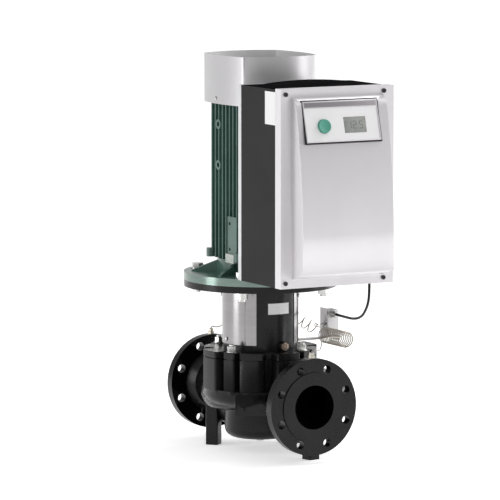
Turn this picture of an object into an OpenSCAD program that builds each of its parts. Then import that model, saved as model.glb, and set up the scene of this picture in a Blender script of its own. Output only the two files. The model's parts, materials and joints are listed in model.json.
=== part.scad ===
// In-line pump with a flange-mounted motor and an electronics box.
// Origin on the shaft axis at floor level, +Z up along the shaft.
// The discharge flange faces -Y, the suction flange faces +Y.

/* [Pipe flanges] */
// Distance between the two pipe flange faces
face_to_face = 500; // [490:5:540]
// Height of the pipe centreline above the floor
centre_h = 130; // [122:1:150]
// Outer diameter of a pipe flange
flange_d = 220; // [210:1:230]
// Thickness of a pipe flange with its raised face
flange_t = 24; // [20:1:28]
// Bore of the suction and discharge ports
bore_d = 100; // [84:1:102]
// Pitch circle of the flange bolts
bolt_circle_d = 180; // [176:1:184]
// Diameter of a flange bolt hole
bolt_hole_d = 19; // [14:0.5:20]
// Number of bolts in a pipe flange
bolt_count = 8; // [4:4:8]
// Diameter of the raised sealing face
raised_d = 158; // [140:1:160]
// Height of the raised sealing face
raised_h = 3; // [2:0.5:4]

/* [Pump casing] */
// Height of the casing rim above the pipe centreline
rim_h = 91; // [88:1:110]
// Radius of the casing wall between the bolt bosses
wall_r = 108; // [106:1:112]
// Radius of the ledge under the bosses
ledge_r = 134; // [134:1:138]
// Radius of the suction bowl under the impeller
bowl_r = 82; // [76:1:84]
// Wall of the cast water passages
cast_wall = 9; // [7:0.5:11]
// Width of a square foot
foot_w = 30; // [22:1:34]
// Pitch radius of the casing bolts
casing_bolt_r = 115; // [113:1:117]
// Thread diameter of the casing bolts
casing_bolt_d = 12; // [10:1:14]

/* [Impeller and seal] */
// Outer diameter of the impeller
impeller_d = 176; // [160:1:184]
// Width of the impeller outlet
outlet_w = 15; // [12:1:18]
// Diameter of the impeller eye
eye_d = 86; // [76:1:90]
// Number of impeller blades
blade_count = 7; // [5:1:9]
// Running clearance at the wear ring
wear_gap = 0.4; // [0.3:0.1:0.8]
// Diameter of the pump shaft
pump_shaft_d = 28; // [24:1:30]

/* [Lantern] */
// Height of the lantern from casing rim to motor flange
lantern_h = 175; // [165:1:200]
// Outer diameter of the lantern tube
lantern_d = 170; // [164:1:176]
// Wall of the lantern tube
lantern_wall = 8; // [6:0.5:10]
// Thickness of the lantern's lower flange
lantern_base_t = 17; // [14:1:22]
// Thickness of the lantern's upper flange
lantern_top_t = 15; // [12:1:20]
// Thickness of the sheet metal guards
guard_t = 1.2; // [0.8:0.1:1.6]

/* [Motor] */
// Diameter of the motor flange
motor_flange_d = 350; // [340:1:360]
// Thickness of the motor flange
motor_flange_t = 18; // [14:1:22]
// Pitch circle of the motor flange bolts
motor_bolt_circle_d = 300; // [292:1:304]
// Thread diameter of the motor flange bolts
motor_bolt_d = 16; // [12:1:18]
// Height of the end shield above its flange
neck_h = 31; // [28:1:36]
// Length of the finned motor housing
housing_len = 360; // [350:1:380]
// Half width of the motor over its fin tips
fin_tip = 95; // [92:1:97]
// Thickness of a cooling fin
fin_t = 4; // [3:0.5:5]
// Number of cooling fins on each side
fin_count = 8; // [6:1:8]
// Diameter of the motor shaft
motor_shaft_d = 38; // [34:1:40]
// Length of the stator core
stator_len = 210; // [180:1:220]
// Air gap between rotor and stator
air_gap = 0.8; // [0.6:0.1:1.2]

/* [Fan cowl] */
// Height of the fan cowl
cowl_h = 111; // [108:1:125]
// Distance from the axis to the cowl's corner edges, left to right
cowl_x = 95; // [94:1:98]
// Distance from the axis to the cowl's corner edges, front to back
cowl_y = 92; // [91:1:95]
// Outward bulge of the cowl's left and right sides
cowl_bulge_x = 12; // [12:1:15]
// Outward bulge of the cowl's front and back sides
cowl_bulge_y = 30; // [28:1:32]
// Wall of the cowl sheet
cowl_wall = 2.5; // [1.5:0.5:3]
// Depth of the grille below the cowl's rim
grille_depth = 42; // [36:1:46]

/* [Electronics box] */
// Width of the box cover
cover_w = 288; // [282:1:300]
// Height of the box
box_h = 441; // [436:1:455]
// Distance from the shaft axis to the cover's rim plane
cover_y = 350; // [345:1:360]
// Depth of the cover's turned edge
lip_d = 25; // [20:1:30]
// Wall of the cover
cover_wall = 3; // [2:0.5:3.5]
// Depth of the raised hood on the cover
hood_depth = 50; // [46:1:54]
// Wall of the electronics housing
housing_wall = 4; // [3:0.5:5]
// Distance from the shaft axis to the back of the electronics housing
housing_back_y = 167; // [164:1:170]
// Thickness of the heat sink plate
sink_t = 14; // [10:1:16]

/* [Control panel] */
// Width of the control panel
panel_w = 194; // [180:1:196]
// Length of the control panel along its slope
panel_len = 97; // [94:1:98]
// Slope of the panel from upright, in degrees
panel_tilt = 15; // [13:0.5:17]
// Diameter of the control knob
knob_d = 31; // [26:1:34]
// Height of the control knob over the panel
knob_h = 9; // [7:0.5:12]
// Push travel of the control knob
knob_travel = 1.5; // [1:0.1:1.8]
// Width of the display window
display_w = 56; // [46:1:60]
// Height of the display window
display_h = 36; // [30:1:38]

/* [Pressure sensor] */
// Width of the sensor body
sensor_w = 28; // [24:1:30]
// Depth of the sensor body
sensor_d = 32; // [28:1:34]
// Height of the sensor body
sensor_h = 58; // [54:1:64]
// Diameter of the black sensor lead
lead_d = 6; // [4:0.5:7]
// Diameter of the capillary tubes
tube_d = 2.6; // [2:0.1:3]
// Radius of the wound capillary coil
coil_r = 18; // [15:0.5:18.5]
// Turns in the wound capillary coil
coil_turns = 12; // [9:1:13]

/* [Hidden] */
$fn = 64;
seat = 0.2;
run_fit = 0.05;
drill_spread = 0.32;

// Heights of the main joint planes above the floor
rim_z = centre_h + rim_h;
lantern_base_z = rim_z + lantern_base_t;
lantern_top_z = rim_z + lantern_h;
motor_flange_z = lantern_top_z + motor_flange_t;
housing_z = motor_flange_z + neck_h;
housing_top_z = housing_z + housing_len;
cowl_z = housing_top_z - 6;
cowl_top_z = cowl_z + cowl_h;
grille_z = cowl_top_z - grille_depth;
ledge_z = centre_h + 20;

// Casing
face_y = face_to_face / 2;
bore_r = bore_d / 2;
neck_r = bore_r + cast_wall;
bolt_boss_w = 30;
bolt_boss_r = casing_bolt_r + 14;
rib_boss_w = 56;
rib_boss_r = bolt_boss_r - 5;
port_boss_w = 59;
port_boss_r = bolt_boss_r + 5;
bolt_angle = -153.5;
rib_angle = -128.5;
port_angle = 180;
relief_h = 2;
relief_in = 3;
cover_fit_r = wall_r - 10;
cover_rim_r = wall_r - 6;
cover_rim_t = 8;
stud_depth = 22;
o_ring_w = 4;
o_ring_h = 4;
drain_boss = 5;
drain_thread_r = 6;
cast_pad_w = 70;
cast_pad_h = 52;
cast_pad_deep = 44;
cast_pad_proud = 2;
cast_pad_boss_r = 7;
tap_thread_r = 4.5;
spot_face = 0.5;

// Impeller stack, from the eye upwards
chamber_z = centre_h - outlet_w / 2 - 9;
shroud_t = 4;
impeller_front_z = centre_h - outlet_w / 2 - shroud_t;
impeller_top_z = centre_h + outlet_w / 2 + shroud_t + 1;
cover_face_z = impeller_top_z + 4;
eye_r = eye_d / 2;
eye_ring_r = eye_r + 7;
wear_in_r = eye_ring_r + wear_gap;
wear_out_r = wear_in_r + 6;
wear_h = 12;
impeller_r = impeller_d / 2;
hub_r = pump_shaft_d / 2 + 8;
hub_top_z = impeller_top_z + 10;
shaft_r = pump_shaft_d / 2;
impeller_bore_r = shaft_r - 2;
thread_r = shaft_r - 5;
nut_h = 10;
chamber_r = cover_fit_r;

// Shaft seal
seal_bore_r = shaft_r + 18;
seal_bore_top = cover_face_z + 52;
seat_ring_h = 10;
seat_ring_r = shaft_r + 13;
seal_head_h = 22;
spring_wire = 3;
spring_r = shaft_r + 4.5;

// Lantern, guards and vent
spigot_r = 125;
spigot_h = 5;
window_low_z = lantern_base_z + 38;
window_high_z = lantern_top_z - lantern_top_t - 35;
window_half = 50;
guard_in_r = lantern_d / 2 + seat;
guard_low_z = lantern_base_z + 13;
guard_high_z = lantern_top_z - lantern_top_t - 3;
guard_half = 55;
joggle = 1.2;
joggle_angle = 37.4;
guard_screw_r = 2.5;
guard_screws_at = [
    [-35.5, guard_high_z - 20],
    [35.5, guard_high_z - 20],
    [0, guard_low_z + 11]
];
vent_angle = -84;
vent_z = lantern_base_z + 11;
vent_boss = 8;
vent_thread_r = 5;

// Coupling and shafts
motor_shaft_r = motor_shaft_d / 2;
coupling_r = motor_shaft_r + 19;
coupling_len = 96;
coupling_mid_z = lantern_base_z + 78;
coupling_z = coupling_mid_z - coupling_len / 2;
coupling_gap = 3;
clamp_screw_d = 8;
clamp_head_y = 12;

// Bearings
bearing_w = 23;
bearing_out_r = motor_shaft_r + 26;
bearing_pitch_r = motor_shaft_r + 13;
ball_r = 7.5;
race_r = 7.6;
drive_bearing_z = lantern_top_z + 12;
rear_bearing_z = housing_top_z - 18;
cage_balls = 8;

// Motor
housing_core_r = 82;
stator_out_r = housing_core_r - 8;
stator_in_r = 48;
stator_mid_z = housing_z + housing_len / 2 - 2;
winding_h = 34;
fin_pitch = 16.7;
neck_out_r = 98;
gusset_angles = [-155, -115, -65, -25, 25, 65, 115, 155];
gusset_out_r = 158;
lug_x = fin_tip - 1;
lug_y = 66;
side_bosses = [
    [27, housing_z + 306, 11, 6],
    [27, housing_z + 213, 11, 6],
    [-30, housing_z + 84, 9, 4],
    [-30, housing_z + 25, 9, 4]
];
pad_proud = 1;
pad_y0 = -62;
pad_y1 = -20;
pad_z0 = housing_z + 15;
pad_z1 = housing_z + 100;
entry_y0 = 9.5 - lug_y;
entry_w = 38;
neck_in_r = stator_out_r - 8;
rear_shield_t = 12;
rear_shield_top = housing_top_z + rear_shield_t;
fan_r = 74;
fan_z = rear_shield_top + 6;
blade_h = 34;

// Fan cowl, its sides being arcs over the corner distances
cowl_reach_x = cowl_x + cowl_bulge_x;
cowl_reach_y = cowl_y + cowl_bulge_y;
cowl_arc_x = (pow(cowl_y, 2) + pow(cowl_bulge_x, 2)) / (2 * cowl_bulge_x);
cowl_arc_y = (pow(cowl_x, 2) + pow(cowl_bulge_y, 2)) / (2 * cowl_bulge_y);
cowl_screw_r = 2.5;
cowl_screw_z = housing_top_z + rear_shield_t / 2;
cowl_screw_off = 16;
cowl_lug_len = 36;
grille_t = 3;
grille_r = fan_r + 10;

// Electronics box
box_z = motor_flange_z + 2;
box_top = box_z + box_h;
housing_w = cover_w - 4;
cover_back_y = cover_y - lip_d;
gasket_t = 2;
housing_front_y = cover_back_y - gasket_t;
sink_back_y = housing_back_y - sink_t;
sink_fin_y = sink_back_y - 23;
adapter_w = 96;
adapter_z = box_z + 150;
adapter_h = 190;
cover_screw_left = cover_w / 2 - 12;
cover_screw_right = cover_w / 2 - 26;
cover_screw_in = 12;
cover_screw_d = 5;
crown_rise = 6;
crown_len = 40;
crowns = [[20, 214, 0], [66, 144, 82]];
sink_pitch = 11;
gasket_w = 6;
cover_screw_in_len = 20;
board_w = 230;
board_h = 360;

// Hood of the cover, as a side profile
hood_w = 232;
hood_low_z = box_z + 20;
hood_face_low_z = hood_low_z + 14;
hood_bend_z = box_z + 96;
hood_steps = 14;
hood_top_z = box_top - 31;
hood_top_depth = 17;

// Control panel, placed by its lower front edge
panel_x = -102;
panel_low_y = cover_y + 41;
panel_low_z = box_top - 119;
panel_deep = 14;
panel_fit = 0.4;
panel_border = 5;
panel_head = 18;
face_sink = 1.2;
face_t = 1.6;
knob_u = 50;
knob_v = 38;
display_u = 101;
display_v = 21;
encoder_r = 3;
display_t = 5;
knob_clear = 0.6;
knob_low = -face_sink - face_t;
knob_edge = 2;
well_z = knob_low - knob_travel - 0.5;
encoder_top = knob_h - knob_travel - 2;

// Pressure sensor group, carried by a strip under one casing bolt
sensor_bolt = 2;
strip_t = 3;
sensor_bolt_angle = bolt_angle + 90 * sensor_bolt;
strip_x = casing_bolt_r * cos(sensor_bolt_angle);
strip_y = casing_bolt_r * sin(sensor_bolt_angle);
strip_w = 22;
strip_z = lantern_base_z;
bracket_x = 200;
sensor_x = bracket_x;
sensor_y = strip_y - sensor_d / 2;
sensor_z = strip_z + 9;
gland_x = sensor_x + 13;
gland_z = sensor_z + sensor_h - 9;
lead_r = lead_d / 2;
box_gland_x = 124;
box_gland_y = 280;
gland_well_r = 12;
gland_well_h = 14;
gland_len = 16;
gland_r = 9;
gland_hex_h = 6;
lead_grip = 8;
tap_y = face_y - (flange_t + raised_h) / 2;
tap_z = centre_h + flange_d / 2;
tap_h = 13;
tube_r = tube_d / 2;
tube_grip = 3;
gland_neck_r = 6;
port_r = 5;
port_len = 7;
port_h = 12;
label_t = 0.4;
lantern_label_z = lantern_base_z + 84;

// Route of the sensor lead from the sensor gland to the box gland
gland_tip_y = sensor_y - gland_len;
gland_tip_z = box_z + gland_well_h - gland_len;
lead_points = [
    [gland_x, gland_tip_y + lead_grip, gland_z],
    [gland_x, gland_tip_y, gland_z],
    [gland_x, gland_tip_y - 4, gland_z],
    [gland_x - 1, -16, gland_z - 0.5],
    [198, -78, 299],
    [181, -135, 308],
    [162, -188, 323],
    [144, -235, 346],
    [133, -262, 368],
    [126, -276, 388],
    [box_gland_x, -box_gland_y, gland_tip_z - 6],
    [box_gland_x, -box_gland_y, gland_tip_z],
    [box_gland_x, -box_gland_y, gland_tip_z + lead_grip]
];

// Discharge capillary: curl at the tap, run to the wound coil, end at the sensor
tap_top_z = tap_z - spot_face + tap_h;
port_x = sensor_x + sensor_w / 2;
coil_x = 189;
coil_z = strip_z + 11;
coil_from = [coil_x, -68, coil_z];
coil_to = [coil_x, 30, coil_z];
discharge_points = [
    [0, -tap_y, tap_top_z - tube_grip],
    [0, -tap_y, tap_top_z],
    [0, -tap_y, tap_top_z + 1.5],
    [3, -tap_y, tap_top_z + 4],
    [10, -tap_y + 1, tap_top_z + 5],
    [18, -tap_y + 5, tap_top_z + 3],
    [31, -220, tap_top_z + 3],
    [58, -180, tap_top_z + 7],
    [94, -120, tap_top_z + 10],
    [134, -92, tap_top_z + 8],
    [166, -80, tap_top_z + 6],
    [coil_x - 11, -71, coil_z + coil_r - 4]
];
coil_tail = [
    [coil_x + 7, 31, coil_z + coil_r - 3],
    [coil_x + coil_r - 3, 32, coil_z + 6],
    [coil_x + coil_r, 34, coil_z - 8],
    [port_x - 2, 42, strip_z - 8],
    [port_x, strip_y - 3, strip_z - 8],
    [port_x, strip_y, strip_z - 3],
    [port_x, strip_y, sensor_z - port_len - 1],
    [port_x, strip_y, sensor_z - port_len + tube_grip]
];

// Suction capillary: rise from the tap, loose loops, end at the sensor's rear
loop_r = 13;
loop_from = [150, 96, 284];
loop_to = [179, 60, 259];
suction_points = [
    [0, tap_y, tap_top_z - tube_grip],
    [0, tap_y, tap_top_z],
    [0, tap_y, tap_top_z + 1.5],
    [3, tap_y - 2, tap_top_z + 4],
    [12, tap_y - 10, tap_top_z + 4],
    [18, 215, 262],
    [20, 203, 274],
    [60, 150, 296],
    [110, 108, 300],
    [138, 94, 298]
];
loop_tail = [
    [184, 66, 272],
    [190, 82, 266],
    [200, 92, sensor_z + port_h + 2],
    [port_x - 4, 92, sensor_z + port_h],
    [port_x, 84, sensor_z + port_h],
    [port_x, sensor_y + sensor_d + port_len + 1, sensor_z + port_h],
    [port_x, sensor_y + sensor_d + port_len - tube_grip, sensor_z + port_h]
];

// Sweep of a round section along a list of points
function unit(v) = v / norm(v);
function tangent(p, i) =
    unit(p[min(i + 1, len(p) - 1)] - p[max(i - 1, 0)]);
function first_normal(t) =
    unit(cross(t, abs(t[2]) < 0.9 ? [0, 0, 1] : [1, 0, 0]));
function carry(n, t) = unit(n - t * (n * t));
function normals(p, i = 0, last = [0, 0, 0], out = []) =
    i == len(p) ? out :
    let(t = tangent(p, i))
    let(n = i == 0 ? first_normal(t) : carry(last, t))
    normals(p, i + 1, n, concat(out, [n]));

module sweep(points, radii, sides) {
    count = len(points);
    side_n = normals(points);
    rings = [
        for (i = [0 : count - 1])
            let(t = tangent(points, i), b = cross(t, side_n[i]))
            for (k = [0 : sides - 1])
                points[i] + radii[i] * (cos(360 * k / sides) * side_n[i]
                    + sin(360 * k / sides) * b)
    ];
    walls = [
        for (i = [0 : count - 2])
            for (k = [0 : sides - 1])
                let(a = i * sides + k, c = i * sides + (k + 1) % sides)
                each [[a, a + sides, c + sides], [a, c + sides, c]]
    ];
    near_cap = [for (k = [0 : sides - 1]) k];
    far_cap = [for (k = [sides - 1 : -1 : 0]) (count - 1) * sides + k];
    polyhedron(rings, concat([near_cap], [far_cap], walls), convexity = 8);
}

// Helix round the line between two points, starting at its top
function coil_path(from, to, r, turns, steps) =
    let(along = unit(to - from))
    let(across = unit(cross(along, [0, 0, 1])))
    let(up = cross(across, along))
    [
        for (i = [0 : steps * turns])
            let(a = 90 - 360 * i / steps)
            from + (to - from) * i / (steps * turns)
                + r * (cos(a) * across + sin(a) * up)
    ];

module tube(points, r, sides = 6) {
    sweep(points, [for (p = points) r], sides);
}

// A smooth curve through a list of points
function catmull(a, b, c, d, t) =
    0.5 * (2 * b + (c - a) * t + (2 * a - 5 * b + 4 * c - d) * t * t
        + (3 * b - a - 3 * c + d) * t * t * t);
function smooth(p, steps) = concat(
    [
        for (i = [0 : len(p) - 2])
            for (s = [0 : steps - 1])
                catmull(p[max(i - 1, 0)], p[i], p[i + 1],
                    p[min(i + 2, len(p) - 1)], s / steps)
    ],
    [p[len(p) - 1]]
);

// Common shapes
module ring(outer_r, inner_r, h) {
    difference() {
        cylinder(r = outer_r, h = h);
        translate([0, 0, -1])
            cylinder(r = inner_r, h = h + 2);
    }
}

module hex(across, h) {
    cylinder(d = across / cos(30), h = h, $fn = 6);
}

module around(count, r, start = 0) {
    for (i = [0 : count - 1])
        rotate([0, 0, start + 360 * i / count])
            translate([r, 0, 0])
                children();
}

module sector(r, from, to) {
    polygon([
        [0, 0],
        r * [cos(from), sin(from)],
        r * [cos((2 * from + to) / 3), sin((2 * from + to) / 3)],
        r * [cos((from + 2 * to) / 3), sin((from + 2 * to) / 3)],
        r * [cos(to), sin(to)]
    ]);
}

module arc_shell(outer_r, inner_r, h, from, to) {
    linear_extrude(height = h)
        intersection() {
            difference() {
                circle(r = outer_r, $fn = 96);
                circle(r = inner_r, $fn = 96);
            }
            sector(3 * outer_r, from, to);
        }
}

// Outline of the casing rim and of the lantern's lower flange
module boss_outline(w, r, inset, ridge = 0) {
    half = w / 2 - inset;
    polygon([
        [cover_fit_r, -half], [r - inset - 3, -half], [r - inset, 3 - half],
        [r - inset + ridge, 0],
        [r - inset, half - 3], [r - inset - 3, half], [cover_fit_r, half]
    ]);
}

module rim_outline(inset = 0) {
    circle(r = wall_r - inset, $fn = 96);
    for (i = [0 : 3]) {
        rotate([0, 0, bolt_angle + 90 * i])
            boss_outline(bolt_boss_w, bolt_boss_r, inset);
        rotate([0, 0, rib_angle + 90 * i])
            boss_outline(rib_boss_w, rib_boss_r, inset, 6);
        rotate([0, 0, port_angle + 90 * i])
            boss_outline(port_boss_w, port_boss_r, inset, 2);
    }
}

// Spiral of the volute, growing towards the discharge branch
spiral_steps = 22;
branch_steps = 12;
spiral_start = 200;
spiral_end = -10;
spiral_small_r = 30;
spiral_large_r = bore_r + 2;
spiral_in = impeller_r - 4;
spiral_out = ledge_r + 11;
branch_end_y = -(face_y - flange_t - 14);
function spiral_point(s) =
    let(a = spiral_start + (spiral_end - spiral_start) * s)
    let(r = spiral_in + (spiral_out - spiral_in) * s)
    [r * cos(a), r * sin(a), centre_h];
throat = spiral_point(1);
function branch_point(s) =
    let(w = (1 - cos(180 * pow(s, 1.5))) / 2)
    [throat[0] * (1 - w), throat[1] + (branch_end_y - throat[1]) * s, centre_h];
spiral_path = concat(
    [for (i = [0 : spiral_steps]) spiral_point(i / spiral_steps)],
    [for (i = [1 : branch_steps]) branch_point(i / branch_steps)]
);
function spiral_radii(wall) = [
    for (i = [0 : spiral_steps + branch_steps])
        (i <= spiral_steps
            ? spiral_small_r + (spiral_large_r - spiral_small_r) * i / spiral_steps
            : spiral_large_r + (neck_r - 1 - spiral_large_r)
                * (i - spiral_steps) / branch_steps) - wall
];

// Suction passage from the rear flange down to the bowl
suction_drop = 40;
suction_run = 150;
suction_turn = 2 * atan(suction_drop / suction_run);
suction_bend_r = suction_run / (2 * sin(suction_turn));
suction_start_y = face_y - flange_t - 14;
suction_z = centre_h - suction_drop;
suction_wet_r = bore_r - 2;
bowl_low_z = suction_z - suction_wet_r - cast_wall - 1.5;
bowl_round = 24;

module s_bend(r) {
    translate([0, suction_bend_r, 0])
        rotate([0, 0, -90])
            rotate_extrude(angle = suction_turn)
                translate([suction_bend_r, 0])
                    circle(r = r);
    translate([suction_run, suction_drop - suction_bend_r, 0])
        rotate([0, 0, 90])
            rotate_extrude(angle = suction_turn)
                translate([suction_bend_r, 0])
                    circle(r = r);
}

module suction_passage(r) {
    translate([0, suction_start_y, centre_h])
        rotate([-90, 0, -90]) {
            s_bend(r);
            translate([suction_run, suction_drop, 0])
                rotate([0, 90, 0])
                    cylinder(r = r, h = suction_start_y - suction_run);
        }
}

module at_flange(side) {
    rotate([0, 0, side])
        translate([0, -face_y, centre_h])
            rotate([90, 0, 0])
                children();
}

module at_flanges() {
    for (side = [0, 180])
        at_flange(side)
            children();
}

module pipe_flange() {
    translate([0, 0, -flange_t])
        cylinder(r = flange_d / 2, h = flange_t - raised_h, $fn = 96);
    translate([0, 0, -raised_h - 1])
        cylinder(r = raised_d / 2, h = raised_h + 1, $fn = 96);
    translate([0, 0, -flange_t - 22])
        cylinder(r1 = neck_r, r2 = neck_r + 12, h = 23);
}

module flange_cuts(hole_d) {
    translate([0, 0, -flange_t - 20])
        cylinder(r = bore_r, h = flange_t + 21);
    around(bolt_count, bolt_circle_d / 2, 180 / bolt_count)
        translate([0, 0, -flange_t - 1])
            cylinder(d = hole_d, h = flange_t + 2);
}

module rounded_square(w, d, r) {
    square([w - 2 * r, d], center = true);
    square([w, d - 2 * r], center = true);
    for (x = [-1, 1])
        for (y = [-1, 1])
            translate([x * (w / 2 - r), y * (d / 2 - r)])
                circle(r = r);
}

// Feet as [angle, radius, height of the joint with the casing, own turn]
feet = [
    [115.6, 132, centre_h - 24, 15],
    [-79.4, 179, centre_h - 38, 0],
    [22, 138, centre_h - 30, 0]
];

module foot(angle, r, h, turn) {
    rotate([0, 0, angle])
        translate([r, 0, 0])
            rotate([0, 0, turn])
                linear_extrude(height = h)
                    rounded_square(foot_w, foot_w, 4);
}

module casing_body() {
    rotate_extrude($fn = 96)
        polygon([
            [0, suction_z - 12], [bowl_r, suction_z - 12],
            [bowl_r, centre_h - 37], [bowl_r + 5, centre_h - 30],
            [bowl_r + 16, centre_h - 25], [bowl_r + 32, centre_h - 18],
            [ledge_r - 5, centre_h - 6], [ledge_r, ledge_z - 14],
            [ledge_r, ledge_z], [wall_r - 1, ledge_z], [wall_r - 1, ledge_z + 1],
            [0, ledge_z + 1]
        ]);
    translate([0, 0, ledge_z - 1])
        linear_extrude(height = rim_z - ledge_z + 1)
            rim_outline();
    rotate_extrude() {
        translate([0, bowl_low_z])
            square([bowl_r - bowl_round, suction_z - bowl_low_z]);
        translate([0, bowl_low_z + bowl_round])
            square([bowl_r, suction_z - bowl_low_z - bowl_round]);
        translate([bowl_r - bowl_round, bowl_low_z + bowl_round])
            circle(r = bowl_round);
    }
}

// Pad with two small bosses under the ledge, in line with a rib boss
module side_pad() {
    rotate([0, 0, rib_angle])
        translate([ledge_r + cast_pad_proud - cast_pad_deep, 0, ledge_z]) {
            translate([0, -cast_pad_w / 2, -cast_pad_h])
                cube([cast_pad_deep, cast_pad_w, cast_pad_h - 6]);
            for (boss = [[-20, 12], [27, 22]])
                translate([0, boss[0], boss[1] - cast_pad_h])
                    rotate([0, 90, 0])
                        cylinder(r = cast_pad_boss_r, h = cast_pad_deep + 5);
        }
}

module volute_casing() {
    color([0.16, 0.16, 0.17])
        difference() {
            union() {
                casing_body();
                sweep(spiral_path, spiral_radii(0), 20);
                suction_passage(suction_wet_r + cast_wall);
                at_flanges() pipe_flange();
                for (f = feet)
                    foot(f[0], f[1], f[2], f[3]);
                side_pad();
                translate([0, 0, bowl_low_z - drain_boss])
                    cylinder(r = 15, h = drain_boss + 5);
            }
            at_flange(0) flange_cuts(bolt_hole_d);
            at_flange(180) flange_cuts(bolt_hole_d + drill_spread);
            at_flanges()
                translate([0, flange_d / 2, tap_y - face_y])
                    rotate([-90, 0, 0]) {
                        translate([0, 0, -14])
                            cylinder(r = tap_thread_r, h = 15);
                        translate([0, 0, -spot_face])
                            cylinder(r = 9, h = 2);
                    }
            sweep(spiral_path, spiral_radii(cast_wall), 16);
            suction_passage(suction_wet_r);
            translate([0, 0, bowl_low_z + cast_wall])
                cylinder(r = bowl_r - cast_wall - 3, h = suction_z - bowl_low_z - 4);
            translate([0, 0, suction_z - 6])
                cylinder(r = eye_r + 1, h = chamber_z);
            translate([0, 0, chamber_z - wear_h])
                cylinder(r = wear_out_r + seat, h = wear_h + 1);
            translate([0, 0, chamber_z])
                cylinder(r = chamber_r, h = rim_z - chamber_z + 1, $fn = 96);
            translate([0, 0, rim_z - cover_rim_t])
                cylinder(r = cover_rim_r, h = cover_rim_t + 1, $fn = 96);
            around(4, casing_bolt_r, bolt_angle)
                translate([0, 0, rim_z - stud_depth - 3])
                    cylinder(d = casing_bolt_d, h = stud_depth + 4);
            translate([0, 0, bowl_low_z - drain_boss - 1])
                cylinder(r = drain_thread_r, h = 12 + drain_boss);
        }
}

module wear_ring() {
    color([0.78, 0.62, 0.32])
        translate([0, 0, chamber_z - wear_h])
            ring(wear_out_r, wear_in_r, wear_h);
}

module casing_cover() {
    color([0.22, 0.22, 0.23])
        difference() {
            union() {
                translate([0, 0, cover_face_z])
                    cylinder(r = cover_fit_r - seat, h = rim_z - cover_face_z, $fn = 96);
                translate([0, 0, rim_z - cover_rim_t + seat])
                    cylinder(r = cover_rim_r - seat, h = cover_rim_t - seat, $fn = 96);
            }
            translate([0, 0, cover_face_z + 12])
                difference() {
                    ring(cover_fit_r - 10, seal_bore_r + 12, rim_z);
                    around(6, seal_bore_r + 4)
                        translate([0, -4, -1])
                            cube([cover_fit_r, 8, rim_z - cover_face_z - 24]);
                }
            translate([0, 0, cover_face_z - 1])
                cylinder(r = seal_bore_r, h = seal_bore_top - cover_face_z + 1);
            translate([0, 0, seal_bore_top - 1])
                cylinder(r = seat_ring_r, h = seat_ring_h + 1);
            translate([0, 0, seal_bore_top])
                cylinder(r = shaft_r + 3, h = rim_z);
            translate([0, 0, rim_z - cover_rim_t - 8])
                ring(cover_fit_r + 1, cover_fit_r - o_ring_w, o_ring_h + 0.6);
        }
}

module casing_o_ring() {
    color([0.08, 0.08, 0.08])
        translate([0, 0, rim_z - cover_rim_t - 7.7])
            ring(cover_fit_r - 0.1, cover_fit_r - o_ring_w + 0.2, o_ring_h);
}

module seal_seat() {
    color([0.75, 0.74, 0.7])
        translate([0, 0, seal_bore_top + seat])
            ring(seat_ring_r - 0.1, shaft_r + 1.5, seat_ring_h - seat);
}

module seal_head() {
    color([0.2, 0.2, 0.22])
        translate([0, 0, seal_bore_top - seal_head_h]) {
            ring(seat_ring_r - 4, shaft_r + run_fit, seal_head_h - 5);
            translate([0, 0, seal_head_h - 5.5])
                ring(seat_ring_r - 7, shaft_r + run_fit, 5.5);
        }
}

module seal_spring() {
    low = hub_top_z + spring_wire / 2;
    high = seal_bore_top - seal_head_h - spring_wire / 2;
    turns = 4;
    steps = 18 * turns;
    color([0.75, 0.75, 0.77])
        tube([
            for (i = [0 : steps])
                let(a = 360 * turns * i / steps)
                [spring_r * cos(a), spring_r * sin(a), low + (high - low) * i / steps]
        ], spring_wire / 2);
}

module impeller() {
    color([0.55, 0.56, 0.58])
        difference() {
            union() {
                translate([0, 0, chamber_z - wear_h + 2])
                    ring(eye_ring_r, eye_r, impeller_front_z - chamber_z + wear_h - 1);
                translate([0, 0, impeller_front_z])
                    ring(impeller_r, eye_r, shroud_t);
                translate([0, 0, impeller_top_z - shroud_t - 1])
                    cylinder(r = impeller_r, h = shroud_t + 1);
                translate([0, 0, impeller_front_z + shroud_t])
                    cylinder(r = hub_r, h = hub_top_z - impeller_front_z - shroud_t);
                translate([0, 0, impeller_front_z + shroud_t - 1])
                    linear_extrude(height = outlet_w + 2)
                        impeller_blades();
            }
            translate([0, 0, chamber_z - wear_h])
                cylinder(r = impeller_bore_r, h = hub_top_z);
        }
}

module impeller_blades() {
    blade_r = impeller_r * 0.72;
    intersection() {
        difference() {
            circle(r = impeller_r - 0.5);
            circle(r = hub_r - 2);
        }
        for (i = [0 : blade_count - 1])
            rotate([0, 0, 360 * i / blade_count])
                translate([impeller_r * 0.62, 0])
                    difference() {
                        circle(r = blade_r);
                        circle(r = blade_r - 3.5);
                        translate([-2 * impeller_r, -3 * impeller_r])
                            square([4 * impeller_r, 3 * impeller_r]);
                    }
    }
}

module impeller_nut() {
    color([0.8, 0.8, 0.82])
        translate([0, 0, impeller_front_z + shroud_t - nut_h])
            difference() {
                hex(2 * impeller_bore_r + 8, nut_h);
                translate([0, 0, -1])
                    cylinder(r = thread_r + run_fit, h = nut_h + 2);
            }
}

module pump_shaft() {
    thread_low_z = impeller_front_z + shroud_t - nut_h - 3;
    color([0.78, 0.78, 0.8]) {
        translate([0, 0, thread_low_z])
            cylinder(r = thread_r, h = nut_h + 4);
        translate([0, 0, impeller_front_z + shroud_t])
            cylinder(r = impeller_bore_r - run_fit, h = hub_top_z - impeller_front_z);
        translate([0, 0, hub_top_z])
            cylinder(r = shaft_r, h = coupling_z - hub_top_z + 6);
        translate([0, 0, coupling_z + 5])
            cylinder(r = motor_shaft_r, h = coupling_mid_z - coupling_z - 6);
    }
}

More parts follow.
